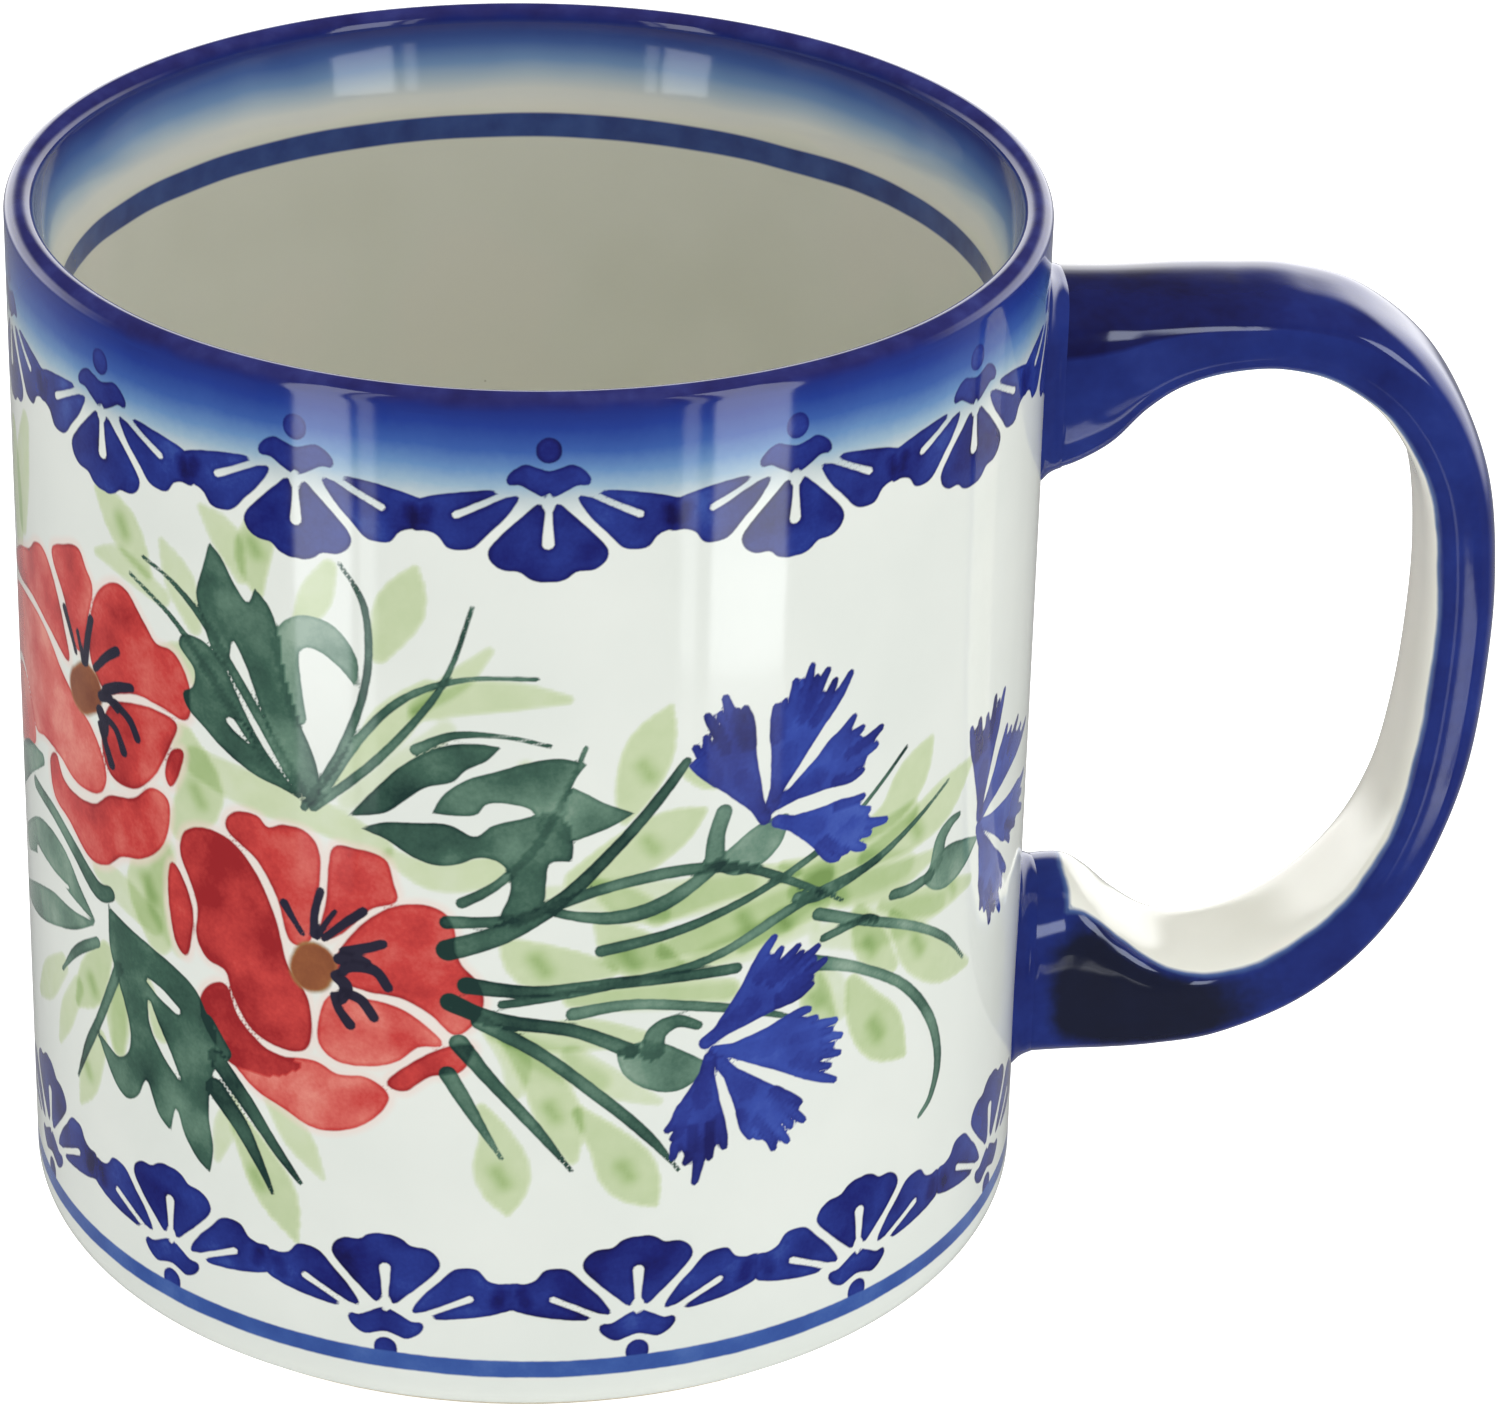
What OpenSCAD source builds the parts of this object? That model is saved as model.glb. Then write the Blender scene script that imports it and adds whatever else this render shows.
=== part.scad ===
// Handled stoneware mug, built as separate clay and glaze pieces.
// Millimetres, +Z up. The origin is the centre of the foot ring on the table.
// The handle stands out along +X.

/* [Cup] */
// outside radius of the glazed wall
wall_r = 42.5; // [40:0.5:45]
// height from the table to the top of the lip
cup_h = 91.5; // [86:0.5:100]
// radius of the straight glazed bore
bore_r = 38.3; // [37:0.1:38.6]
// half thickness of the rounded lip
lip_r = 1.25; // [1.1:0.05:1.5]
// height of the glazed floor inside
floor_z = 6.4; // [5.5:0.1:8]
// rounding between the floor and the bore
floor_round = 6; // [4:0.5:8]
// rounding of the bottom outside edge
base_round = 3.4; // [2.5:0.1:4]

/* [Foot] */
// outside radius of the foot ring's flat face
foot_outer_r = 40.2; // [39.8:0.1:40.4]
// inside radius of the foot ring's flat face
foot_inner_r = 36; // [34:0.5:37]
// depth of the hollow under the floor
foot_recess = 1.5; // [1.2:0.1:2]

/* [Glaze] */
// thickness of every glaze coat
glaze_t = 0.4; // [0.3:0.05:0.5]
// how far the cobalt band comes down the outside of the lip
rim_band_h = 1.6; // [1.5:0.1:3]

/* [Handle] */
// width of the strap across the hand
strap_w = 13.4; // [12:0.1:15]
// extra width where the strap meets the wall
root_flare_w = 1.2; // [0.6:0.1:1.8]
// thickness of the slip between the wall and the strap
slip_t = 1; // [0.8:0.1:1.3]
// how far the slip stands out round the end of the strap
slip_bead = 0.5; // [0.3:0.1:0.8]

/* [Hidden] */

// outside radius of the clay under the glaze
clay_r = wall_r - glaze_t;
// cylinder on which the ends of the strap sit
joint_r = wall_r + slip_t;
// where the lip starts to thin, below the top
lip_taper = 9;
// height of the lowest glaze on the outside
glaze_line_z = 1.1;
// width of the slope and of the small edge on either side of the foot's flat face
foot_slope = 0.8;
foot_edge = 0.35;
// facets in each rounded stretch of a profile, and round the cup
arc_steps = 10;
turn_steps = 180;
// points round the strap and rings along it
strap_sides = 24;
strap_steps = 38;
// points round the outline of a slip joint
pad_points = 40;
// roundness of the strap and the slip joints: 1 is an ellipse, and 0 is a box
palm_round = 0.62;
finger_round_mid = 0.42;
finger_round_end = 0.85;
pad_round = 0.55;
// stretches of the path over which the roots flare, and over which the lower end turns round
flare_spans = 3;
round_spans = 6;

// Side view of the strap, from the upper root to the lower. Each entry is a pair of
// points across the strap: [palm side x, z, finger side x, z].
strap_path = [
  [joint_r, 82.8, joint_r, 67.8], [46.3, 82.8, 45.5, 68.5], [48.6, 82.8, 48, 70.1],
  [51.2, 82.8, 50.6, 73], [54.3, 82.8, 53.4, 75.1], [58.4, 82.7, 57.1, 76.4],
  [63.7, 82.4, 61.7, 76.7], [69.9, 80.5, 66.4, 75.3], [76, 75.2, 70.9, 71.7],
  [80, 66.9, 74.3, 65.4], [81.4, 57, 75.5, 56.9], [81.3, 47.5, 75.4, 48.1],
  [80.5, 39.6, 74.7, 40.8], [78.7, 32.8, 73.5, 34.8], [76, 26.4, 71.1, 29.4],
  [72, 20.7, 67.5, 25], [66.7, 16.2, 63, 21.9], [60, 13.1, 58.6, 20.6],
  [54.4, 12, 54.8, 21.2], [50.4, 11.5, 51.5, 23.5], [47.6, 11.3, 48.9, 26.1],
  [45.3, 11.2, 46.7, 27.6], [joint_r, 11.2, joint_r, 27.7]
];
spans = len(strap_path) - 1;

// Height of the middle of a root and its full height.
function root_mid(root) = (root[1] + root[3]) / 2;
function root_span(root) = abs(root[1] - root[3]);
upper_root = strap_path[0];
lower_root = strap_path[spans];

// Points on an arc, from angle a0 to a1.
function arc(cx, cy, r, a0, a1, n = arc_steps) =
  [for (i = [0:n]) let (a = a0 + (a1 - a0) * i / n) [cx + r * cos(a), cy + r * sin(a)]];

// A list in the other order.
function reversed(list) = [for (i = [len(list) - 1:-1:0]) list[i]];

// Outside of the wall at a depth d under the glaze, from the glaze line up to a height.
function outside_line(d, top_z) = concat(
  arc(wall_r - base_round, base_round, base_round - d, -asin((base_round - glaze_line_z) / base_round), 0),
  [[wall_r - d, top_z]]
);

// Over the lip at a depth d, from the bottom of the band outside to the inner edge of the lip.
function lip_line(d) = concat(
  [[wall_r - d, cup_h - rim_band_h]],
  arc(wall_r - lip_r, cup_h - lip_r, lip_r - d, 0, 180)
);

// Down the bore and across the floor at a depth d, from the inner edge of the lip to the axis.
function inside_line(d) = concat(
  [[wall_r - 2 * lip_r + d, cup_h - lip_r]],
  [[bore_r + d, cup_h - lip_taper]],
  arc(bore_r - floor_round, floor_z + floor_round, floor_round + d, 0, -90),
  [[0, floor_z - d]]
);

// Hollow under the floor at a depth d, from the foot ring to the axis.
function recess_line(d) = [
  [foot_inner_r - foot_slope, foot_recess + d],
  [0, foot_recess + d]
];

// Half outline of the clay, anticlockwise.
function clay_outline() = concat(
  [[0, foot_recess + glaze_t], [foot_inner_r - foot_slope, foot_recess + glaze_t]],
  [[foot_inner_r - foot_slope, foot_recess], [foot_inner_r, 0], [foot_outer_r, 0]],
  [[foot_outer_r + foot_edge, foot_edge]],
  outside_line(glaze_t, cup_h - rim_band_h),
  arc(wall_r - lip_r, cup_h - lip_r, lip_r - glaze_t, 0, 180),
  inside_line(glaze_t)
);

// A coat between two lines that run the same way.
function coat(outer, inner) = concat(outer, reversed(inner));

// Catmull-Rom value between b and c.
function spline(a, b, c, d, t) =
  0.5 * (2 * b + (c - a) * t + (2 * a - 5 * b + 4 * c - d) * t * t + (3 * b - a - 3 * c + d) * t * t * t);

// A path point, carried on level past either end.
function path_point(i) =
  i < 0 ? upper_root - [2, 0, 2, 0] :
  i > spans ? lower_root - [2, 0, 2, 0] : strap_path[i];

function along(u) =
  let (i = min(floor(u), spans - 1), t = u - i)
  spline(path_point(i - 1), path_point(i), path_point(i + 1), path_point(i + 2), t);

// Signed power, for the rounded oblong section.
function spow(v, e) = sign(v) * pow(abs(v), e);

// Width of the strap at u: wider at both roots.
function width_at(u) =
  let (e = min(u, spans - u) / flare_spans)
  strap_w + root_flare_w * pow(max(0, 1 - e), 2);

// How square the finger side is at u: 1 is round and 0 is square. The lower root is round.
function finger_round(u) =
  finger_round_mid + (finger_round_end - finger_round_mid) * pow(max(0, 1 - (spans - u) / round_spans), 2);

// One ring of the strap, d under the glaze. The palm side is rounder than the finger side.
function ring(u, d) =
  let (
    c = along(u),
    end = (u <= 0 || u >= spans),
    across = [c[0] - c[2], c[1] - c[3]],
    dir = across / norm(across),
    hw = width_at(u) / 2 - d,
    ht = norm(across) / 2 - d
  )
  [for (k = [0:strap_sides - 1])
    let (
      a = 360 * (k + 0.5) / strap_sides,
      e = sin(a) > 0 ? palm_round : finger_round(u),
      y = hw * spow(cos(a), e),
      n = ht * spow(sin(a), e),
      x = end ? sqrt(joint_r * joint_r - y * y) : (c[0] + c[2]) / 2 + dir[0] * n
    )
    [x, y, (c[1] + c[3]) / 2 + dir[1] * n]];

function all_rings(d) = [for (j = [0:strap_steps]) each ring(spans * j / strap_steps, d)];

// Side faces between neighbouring rings, starting at point number base.
function tube_faces(base, flip) =
  [for (j = [0:strap_steps - 1]) for (k = [0:strap_sides - 1])
    let (
      k2 = (k + 1) % strap_sides,
      a = base + j * strap_sides + k,
      b = base + j * strap_sides + k2,
      c = a + strap_sides,
      d = b + strap_sides
    )
    each (flip ? [[a, d, b], [a, c, d]] : [[a, b, d], [a, d, c]])];

// A strap end closed in upright strips, which follow the round of the cup.
function end_cap(base, flip) =
  [for (k = [0:strap_sides / 2 - 2])
    let (
      q = strap_sides / 2,
      a = base + k,
      b = base + k + 1,
      c = base + (2 * q - 1 - k),
      d = base + (2 * q - 2 - k)
    )
    each (flip ? [[a, b, d], [a, d, c]] : [[a, d, b], [a, c, d]])];

// The ring-shaped end of the coat, between the outer ring and the inner one.
function end_ring(outer, inner, flip) =
  [for (k = [0:strap_sides - 1])
    let (k2 = (k + 1) % strap_sides, a = outer + k, b = outer + k2, c = inner + k, d = inner + k2)
    each (flip ? [[a, b, d], [a, d, c]] : [[a, d, b], [a, c, d]])];

// Outline of a slip joint on the wall, in the Y-Z plane.
module root_outline(root) {
  half_w = (strap_w + root_flare_w) / 2 + slip_bead;
  half_h = root_span(root) / 2 + slip_bead;
  polygon([for (k = [0:pad_points - 1])
    let (a = 360 * (k + 0.5) / pad_points)
    [half_w * spow(cos(a), pad_round), root_mid(root) + half_h * spow(sin(a), pad_round)]]);
}

// The outline pushed out along +X, through the wall.
module root_prism(root) {
  start_x = wall_r / 2;
  rotate([90, 0, 90])
    translate([0, 0, start_x])
      linear_extrude(wall_r)
        root_outline(root);
}

// Pad of slip between the clay wall and the end of the strap.
module slip_pad(root) {
  low_z = root_mid(root) - root_span(root);
  intersection() {
    difference() {
      translate([0, 0, low_z])
        cylinder(r = joint_r, h = 2 * root_span(root), $fn = turn_steps);
      translate([0, 0, low_z - 1])
        cylinder(r = clay_r, h = 2 * root_span(root) + 2, $fn = turn_steps);
    }
    root_prism(root);
  }
}

module cup_body() {
  color([0.86, 0.84, 0.79])
    rotate_extrude($fn = turn_steps)
      polygon(clay_outline());
}

module handle() {
  last = strap_steps * strap_sides;
  color([0.86, 0.84, 0.79])
    polyhedron(
      points = all_rings(glaze_t),
      faces = concat(tube_faces(0, false), end_cap(0, false), end_cap(last, true)),
      convexity = 6
    );
}

module upper_slip_joint() {
  color([0.2, 0.22, 0.45])
    slip_pad(upper_root);
}

module lower_slip_joint() {
  color([0.2, 0.22, 0.45])
    slip_pad(lower_root);
}

module outer_glaze() {
  top_z = cup_h - rim_band_h;
  color([0.92, 0.93, 0.91])
    difference() {
      rotate_extrude($fn = turn_steps)
        polygon(coat(outside_line(0, top_z), outside_line(glaze_t, top_z)));
      root_prism(upper_root);
      root_prism(lower_root);
    }
}

module inner_glaze() {
  color([0.88, 0.87, 0.82])
    rotate_extrude($fn = turn_steps)
      polygon(coat(inside_line(glaze_t), inside_line(0)));
}

module rim_band() {
  color([0.16, 0.15, 0.38])
    rotate_extrude($fn = turn_steps)
      polygon(coat(lip_line(0), lip_line(glaze_t)));
}

module base_glaze() {
  color([0.88, 0.87, 0.82])
    translate([0, 0, foot_recess])
      cylinder(r = foot_inner_r - foot_slope, h = glaze_t, $fn = turn_steps);
}

module handle_glaze() {
  count = (strap_steps + 1) * strap_sides;
  last = strap_steps * strap_sides;
  color([0.16, 0.18, 0.5])
    polyhedron(
      points = concat(all_rings(0), all_rings(glaze_t)),
      faces = concat(
        tube_faces(0, false),
        tube_faces(count, true),
        end_ring(0, count, false),
        end_ring(last, count + last, true)
      ),
      convexity = 8
    );
}

cup_body();
handle();
upper_slip_joint();
lower_slip_joint();
outer_glaze();
inner_glaze();
rim_band();
base_glaze();
handle_glaze();
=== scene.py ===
"""Looks of the painted stoneware mug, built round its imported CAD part.

Lengths in this script are in millimetres and become metres where meshes are made. The origin is the
centre of the foot ring, Z points up and the handle stands out along +X.
"""

import math

import bpy
import numpy as np
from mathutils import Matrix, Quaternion, Vector


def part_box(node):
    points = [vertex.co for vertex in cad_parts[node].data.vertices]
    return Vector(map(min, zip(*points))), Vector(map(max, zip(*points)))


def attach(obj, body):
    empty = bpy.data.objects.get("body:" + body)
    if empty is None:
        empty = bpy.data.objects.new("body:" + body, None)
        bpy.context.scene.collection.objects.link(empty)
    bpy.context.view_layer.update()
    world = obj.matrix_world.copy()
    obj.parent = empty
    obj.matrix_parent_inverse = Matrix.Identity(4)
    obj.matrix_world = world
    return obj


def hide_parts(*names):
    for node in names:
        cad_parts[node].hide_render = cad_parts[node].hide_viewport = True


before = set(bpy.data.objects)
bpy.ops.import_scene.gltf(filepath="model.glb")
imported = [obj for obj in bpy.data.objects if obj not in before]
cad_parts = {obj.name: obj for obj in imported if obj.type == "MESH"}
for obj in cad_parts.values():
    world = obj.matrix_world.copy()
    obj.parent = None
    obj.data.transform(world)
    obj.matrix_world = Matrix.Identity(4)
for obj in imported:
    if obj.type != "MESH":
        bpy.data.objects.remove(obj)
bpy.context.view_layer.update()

# ---------------------------------------------------------------- sizes

MM = 0.001


def node_box(name):
    """Lowest and highest corner of a CAD node, in mm."""
    low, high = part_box(name)
    return low / MM, high / MM


wall_low, wall_high = node_box("outer_glaze")
rim_low, rim_high = node_box("rim_band")
inside_low, inside_high = node_box("inner_glaze")

GLAZE = 0.4
WALL_R = -wall_low.x
CUP_H = rim_high.z
GLAZE_LINE_Z = wall_low.z
RIM_BAND_Z = rim_low.z
LIP_R = CUP_H - inside_high.z
FLOOR_Z = inside_low.z + GLAZE
BORE_R = 38.3
FLOOR_ROUND = 6.0
BASE_ROUND = 3.4
TAPER_Z = CUP_H - 9.0
SLIP_T = 1.0
JOINT_R = WALL_R + SLIP_T
TURN = 2 * math.pi * WALL_R
# The painting, the lights and the camera are set out for a viewer in front of the mug, on -Y, and are
# then turned together about Z by this angle, because the viewer stands a little off to that side.
VIEW_TURN = math.radians(-5.1)
FRONT_S = WALL_R * VIEW_TURN

# ---------------------------------------------------------------- paths and outlines


def smooth(points, closed=False, steps=6):
    """A curve through the points. A point given twice makes a corner."""
    pts = np.asarray(points, float)
    count = len(pts)
    out = []
    spans = count if closed else count - 1
    t = np.linspace(0, 1, steps, endpoint=False)[:, None]
    for i in range(spans):
        if closed:
            a, b, c, d = (pts[(i + k) % count] for k in (-1, 0, 1, 2))
        else:
            a, b = pts[max(i - 1, 0)], pts[i]
            c, d = pts[i + 1], pts[min(i + 2, count - 1)]
        if np.allclose(b, c):
            continue
        out.append(
            0.5 * (2 * b + (c - a) * t + (2 * a - 5 * b + 4 * c - d) * t**2
                   + (3 * b - a - 3 * c + d) * t**3)
        )
    if not closed:
        out.append(pts[-1:])
    return np.concatenate(out)


def arc(cx, cz, r, a0, a1, steps=10):
    """Points on an arc from a0 to a1, in degrees."""
    a = np.radians(np.linspace(a0, a1, steps + 1))
    return np.stack([cx + r * np.cos(a), cz + r * np.sin(a)], 1)


# ---------------------------------------------------------------- painting on the wall
# The wall is painted rolled flat: s runs round it from the front towards the handle, and z up.
# Each pigment has a layer of depths (mm inside the nearest painted edge, below zero outside it)
# and a layer of tones from 0 (thin) to 1 (thick).

FAR = 1.5
# Thinner strokes would break up between the points of the mesh.
THINNEST = 0.2


def stroke_depth(s, z, path, steps=6):
    """Depth inside a brush stroke. Its path holds (s, z, half width)."""
    line = smooth(path, steps=steps)
    depth = np.full(s.shape, -FAR)
    for a, b in zip(line[:-1], line[1:]):
        ds, dz = b[0] - a[0], b[1] - a[1]
        run = max(ds * ds + dz * dz, 1e-9)
        t = np.clip(((s - a[0]) * ds + (z - a[1]) * dz) / run, 0, 1)
        width = np.maximum(a[2] + (b[2] - a[2]) * t, THINNEST)
        gap = np.hypot(s - a[0] - ds * t, z - a[1] - dz * t)
        depth = np.maximum(depth, width - gap)
    return depth


def outline_depth(s, z, points, steps=6):
    """Depth inside a closed outline of (s, z)."""
    line = smooth(points, closed=True, steps=steps)
    gap = np.full(s.shape, FAR)
    inside = np.zeros(s.shape, bool)
    for a, b in zip(line, np.roll(line, -1, axis=0)):
        ds, dz = b - a
        run = max(ds * ds + dz * dz, 1e-9)
        t = np.clip(((s - a[0]) * ds + (z - a[1]) * dz) / run, 0, 1)
        gap = np.minimum(gap, np.hypot(s - a[0] - ds * t, z - a[1] - dz * t))
        if dz != 0:
            crosses = (a[1] > z) != (b[1] > z)
            inside ^= crosses & (s < a[0] + ds * (z - a[1]) / dz)
    return np.where(inside, gap, -gap)


class Wall:
    """A grid of points on the flat wall, with the paint on it."""

    def __init__(self, columns, heights):
        self.columns = columns
        self.step = TURN / columns
        self.heights = heights
        shape = (len(heights), columns)
        self.depth = {p: np.full(shape, -FAR) for p in PIGMENTS}
        self.tone = {p: np.full(shape, 0.5) for p in PIGMENTS}
        self.wash = np.zeros(shape)

    def window(self, low, high):
        """Row and column numbers of the points near a box, and their places."""
        first = math.floor((low[0] - FAR) / self.step)
        last = math.ceil((high[0] + FAR) / self.step)
        columns = np.arange(first, last + 1)
        near = (self.heights > low[1] - FAR) & (self.heights < high[1] + FAR)
        rows = np.nonzero(near)[0]
        s, z = np.meshgrid(columns * self.step, self.heights[rows])
        return np.ix_(rows, columns % self.columns), s, z

    def around(self, shape):
        """The window round a stroke or an outline."""
        pts = np.asarray(shape, float)
        extra = pts[:, 2].max() if pts.shape[1] == 3 else 0.5
        return self.window(pts[:, :2].min(0) - extra, pts[:, :2].max(0) + extra)

    def lay(self, pigment, where, depth, tone, build=0.2):
        """Adds one shape. Where it crosses paint of its own kind, the tone builds up."""
        old_depth, old_tone = self.depth[pigment][where], self.tone[pigment][where]
        both = (old_depth > 0) & (depth > 0)
        built = np.minimum(1.0, np.maximum(old_tone, tone) + build)
        nearer = np.where(depth > old_depth, tone, old_tone)
        self.tone[pigment][where] = np.where(both, built, nearer)
        self.depth[pigment][where] = np.maximum(old_depth, depth)

    def stroke(self, pigment, path, tone, build=0.2):
        where, s, z = self.around(path)
        self.lay(pigment, where, stroke_depth(s, z, path), tone, build)

    def patch(self, pigment, outline, tone, build=0.2, grow=0.0):
        where, s, z = self.around(outline)
        self.lay(pigment, where, outline_depth(s, z, outline) + grow, tone, build)

    def lift(self, pigment, path):
        """Takes a stroke of paint off again."""
        where, s, z = self.around(path)
        layer = self.depth[pigment]
        layer[where] = np.minimum(layer[where], -stroke_depth(s, z, path))

    def dilute(self, path, amount, soft=0.45):
        """A pale wash with soft edges. Washes that cross get darker."""
        where, s, z = self.around(path)
        share = np.clip(0.5 + stroke_depth(s, z, path, 4) / (2 * soft), 0, 1)
        share = share * share * (3 - 2 * share)
        self.wash[where] += amount * share * (1 - 0.3 * self.wash[where])


PIGMENTS = ("cobalt", "leaf", "red", "cornflower", "stamen", "centre")


# One fan of the stamped border, about its own middle. The upper border has it this way up.
FAN_TOP_Z = 87.2
FAN_DOT_R = 0.98
FAN_BOW = [
    (0, 85.55), (0.9, 85.8), (1.75, 86.05), (2.65, 85.6), (3.2, 84.85), (3, 84.3), (2.2, 84.3),
    (1.4, 83.85), (0.6, 83.4), (0, 83.25),
]
FAN_PETAL = [
    (0.36, 82.3), (0.55, 82.75), (0.95, 82.72), (1.6, 82.1), (2.7, 81.05), (3.65, 80.05), (4.35, 79.2),
    (4.6, 78.5), (4.25, 77.7), (3.4, 77.15), (2.2, 77.05), (1.5, 76.5), (0.7, 76.2), (0, 76.2),
]
FAN_SLOT = [(0, 83.4, 0.24), (0, 81.6, 0.28), (0, 79.45, 0.48)]
FAN_SIDE = [
    (2.35, 83.45), (2.35, 82.9), (3.3, 81.45), (4.4, 80.3), (5.6, 79), (6.7, 78.7), (7.7, 78.85),
    (8.4, 79.75), (9.3, 80.1), (10.4, 80.2), (10.5, 82.3), (9.4, 82.95), (7.9, 83.35), (6.2, 83.65),
    (4.3, 83.85), (3.9, 83.6), (3.2, 83.3),
]
FAN_SIDE_SLOT = [(3.4, 83.5, 0.26), (5.2, 82.55, 0.26), (7.0, 81.65, 0.3)]
FAN_POOL = [(9.2, 81.9, 0.9), (9.5, 81.0, 0.9)]


def mirrored(points):
    """The points with a mirrored copy, so that half an outline gives the whole of it."""
    half = [tuple(p) for p in points]
    other = [(-p[0],) + tuple(p[1:]) for p in reversed(half)]
    return half + [p for p in other if abs(p[0]) > 1e-6]


def fan(wall, s, lean, shift, flip, tone):
    """Stamps one fan at s. flip turns it upside down for the lower border."""

    def placed(points, side=1):
        out = []
        for p in points:
            x, z = p[0] * side, p[1] + shift
            z += lean * x
            out.append((s + x, BORDER_FLIP_Z - z if flip else z) + tuple(p[2:]))
        return out

    wall.stroke("cobalt", placed([(0, FAN_TOP_Z - 0.1, FAN_DOT_R), (0, FAN_TOP_Z + 0.1, FAN_DOT_R)]), tone)
    wall.patch("cobalt", placed(mirrored(FAN_BOW)), tone)
    petal = placed(FAN_PETAL) + placed(FAN_PETAL[-2::-1], -1)
    wall.patch("cobalt", petal, tone + 0.1)
    wall.lift("cobalt", placed(FAN_SLOT))
    for side in (1, -1):
        wall.patch("cobalt", placed(FAN_SIDE, side), tone, build=0.12)
        wall.lift("cobalt", placed(FAN_SIDE_SLOT, side))
        where, a, b = wall.around(placed(FAN_POOL, side))
        pool = np.clip(stroke_depth(a, b, placed(FAN_POOL, side)) / 0.6, 0, 1)
        layer = wall.tone["cobalt"]
        layer[where] = np.maximum(layer[where], tone + 0.35 * pool)


BORDER_FLIP_Z = 93.35
# The borders were stamped by hand, so the spacing at the front differs a little from the rest.
UPPER_FRONT = (-55.5, 19.75, 7)
LOWER_FRONT = (-50.5, 20.7, 6)
UPPER_COUNT, LOWER_COUNT = 14, 13


def fan_places(front, count):
    """Places of the fans all the way round."""
    first, pitch, shown = front
    places = [first + pitch * i for i in range(shown)]
    rest = count - shown + 1
    gap = (TURN - pitch * (shown - 1)) / rest
    return places + [places[-1] + gap * i for i in range(1, rest)]


def borders(wall, rng):
    for front, count, flip in ((UPPER_FRONT, UPPER_COUNT, False), (LOWER_FRONT, LOWER_COUNT, True)):
        for s in fan_places(front, count):
            lean, shift = rng.normal(0, 0.006), rng.normal(0, 0.08)
            fan(wall, s + FRONT_S, lean, shift, flip, 0.45 + rng.normal(0, 0.05))


# ---------------------------------------------------------------- the bouquet
# Strokes hold (s, z, half width) and petals are outlines of (s, z).

# The open poppy. Each petal is a tone and an outline, and the last few are thin slivers at the edge.
LOW_POPPY = [
    (0.8, [(-17.4, 40.3), (-18.4, 44.2), (-20, 47.6), (-22.2, 49.8), (-24.8, 50.3), (-27, 49.3),
        (-27.5, 47.2), (-26.6, 45.2), (-25.8, 42.8), (-26, 40.3), (-25, 38.6), (-23.1, 38), (-22.4, 36),
        (-20.6, 33.4), (-18, 32.5), (-15.9, 32.9), (-15.3, 35), (-15.7, 37.8)]),
    (0.62, [(-17, 42.6), (-18, 46), (-19.8, 49), (-22.7, 51), (-22, 52.6), (-20, 52.9), (-18.9, 52.1),
        (-17.4, 52.7), (-15.4, 52.5), (-14.4, 50.8), (-14.6, 47), (-15.3, 43)]),
    (0.55, [(-14.3, 43.6), (-13.7, 47), (-13.2, 51.5), (-11.4, 51.9), (-9, 51.4), (-8.3, 49.4),
        (-8.1, 47.8), (-10.2, 46.8), (-12.6, 44.2)]),
    (0.6, [(-12.9, 42), (-10.6, 45.4), (-8, 47.3), (-5.2, 47.6), (-3.6, 46.3), (-3.1, 43), (-1.4, 40.8),
        (-1.3, 38.4), (-3.2, 36.3), (-5.2, 38), (-7.6, 39.2), (-10.4, 39.4), (-12.6, 40)]),
    (0.28, [(-13.7, 38.1), (-10.8, 38.5), (-8.1, 38.2), (-6, 37), (-4.4, 35.3), (-6.3, 34.9), (-8, 33.4),
        (-10.2, 32.6), (-13, 32.5), (-14.6, 34.2)]),
    (0.3, [(-23.8, 31.2), (-21, 30.9), (-18, 31.5), (-15, 31.9), (-13, 31.1), (-10.6, 31.3), (-8.8, 30),
        (-9.8, 28), (-12, 26.4), (-15, 25.8), (-18, 27), (-20.8, 28.2)]),
    (0.85, [(-23.2, 36.6), (-25, 35.8), (-25.8, 34), (-25.2, 31.8), (-22.8, 29.6), (-19, 29.6),
        (-16.4, 31.3), (-19.4, 31.9), (-22, 34)]),
    (0.8, [(-28.6, 45.9), (-27.4, 44.8), (-26.5, 42.4), (-26.7, 39.8), (-27.3, 38), (-28.4, 39.2),
        (-29, 43)]),
    (0.75, [(-8.7, 31.4), (-7.4, 30.7), (-5.4, 32.3), (-3, 32.9), (-1.9, 35), (-2.9, 35.4),
        (-5.6, 34.1)]),
]
LOW_CENTRE = [(-15.2, 40.2, 1.95), (-14.9, 40.9, 2)]
LOW_STAMENS = [
    [(-17.5, 45.8, 0.42), (-16.6, 44.4, 0.3), (-15.9, 43.4, 0.25)],
    [(-14.3, 47.6, 0.38), (-14.8, 45.6, 0.36), (-14.9, 43.6, 0.4)],
    [(-10.7, 46.5, 0.42), (-12.4, 45, 0.38), (-14, 43.4, 0.3)],
    [(-9.1, 43.8, 0.42), (-10.8, 43.1, 0.45), (-12.4, 42.6, 0.4)],
    [(-8.7, 39.9, 0.45), (-9.8, 41.3, 0.5), (-11.8, 41.3, 0.5), (-12.6, 40.6, 0.4)],
    [(-9.9, 37, 0.45), (-10.9, 38.4, 0.5), (-12.2, 38.9, 0.45)],
    [(-11.9, 36, 0.5), (-12.8, 37.2, 0.42), (-13.2, 38.4, 0.4)],
    [(-10.4, 41.9, 0.4), (-11.6, 42.2, 0.5), (-12.8, 41.8, 0.5)],
    [(-13, 40.2, 0.55), (-12.2, 39.4, 0.6), (-12.6, 38.2, 0.5)],
    [(-13.1, 46, 0.25), (-14, 44.6, 0.25), (-14.6, 43.4, 0.3)],
]

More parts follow.
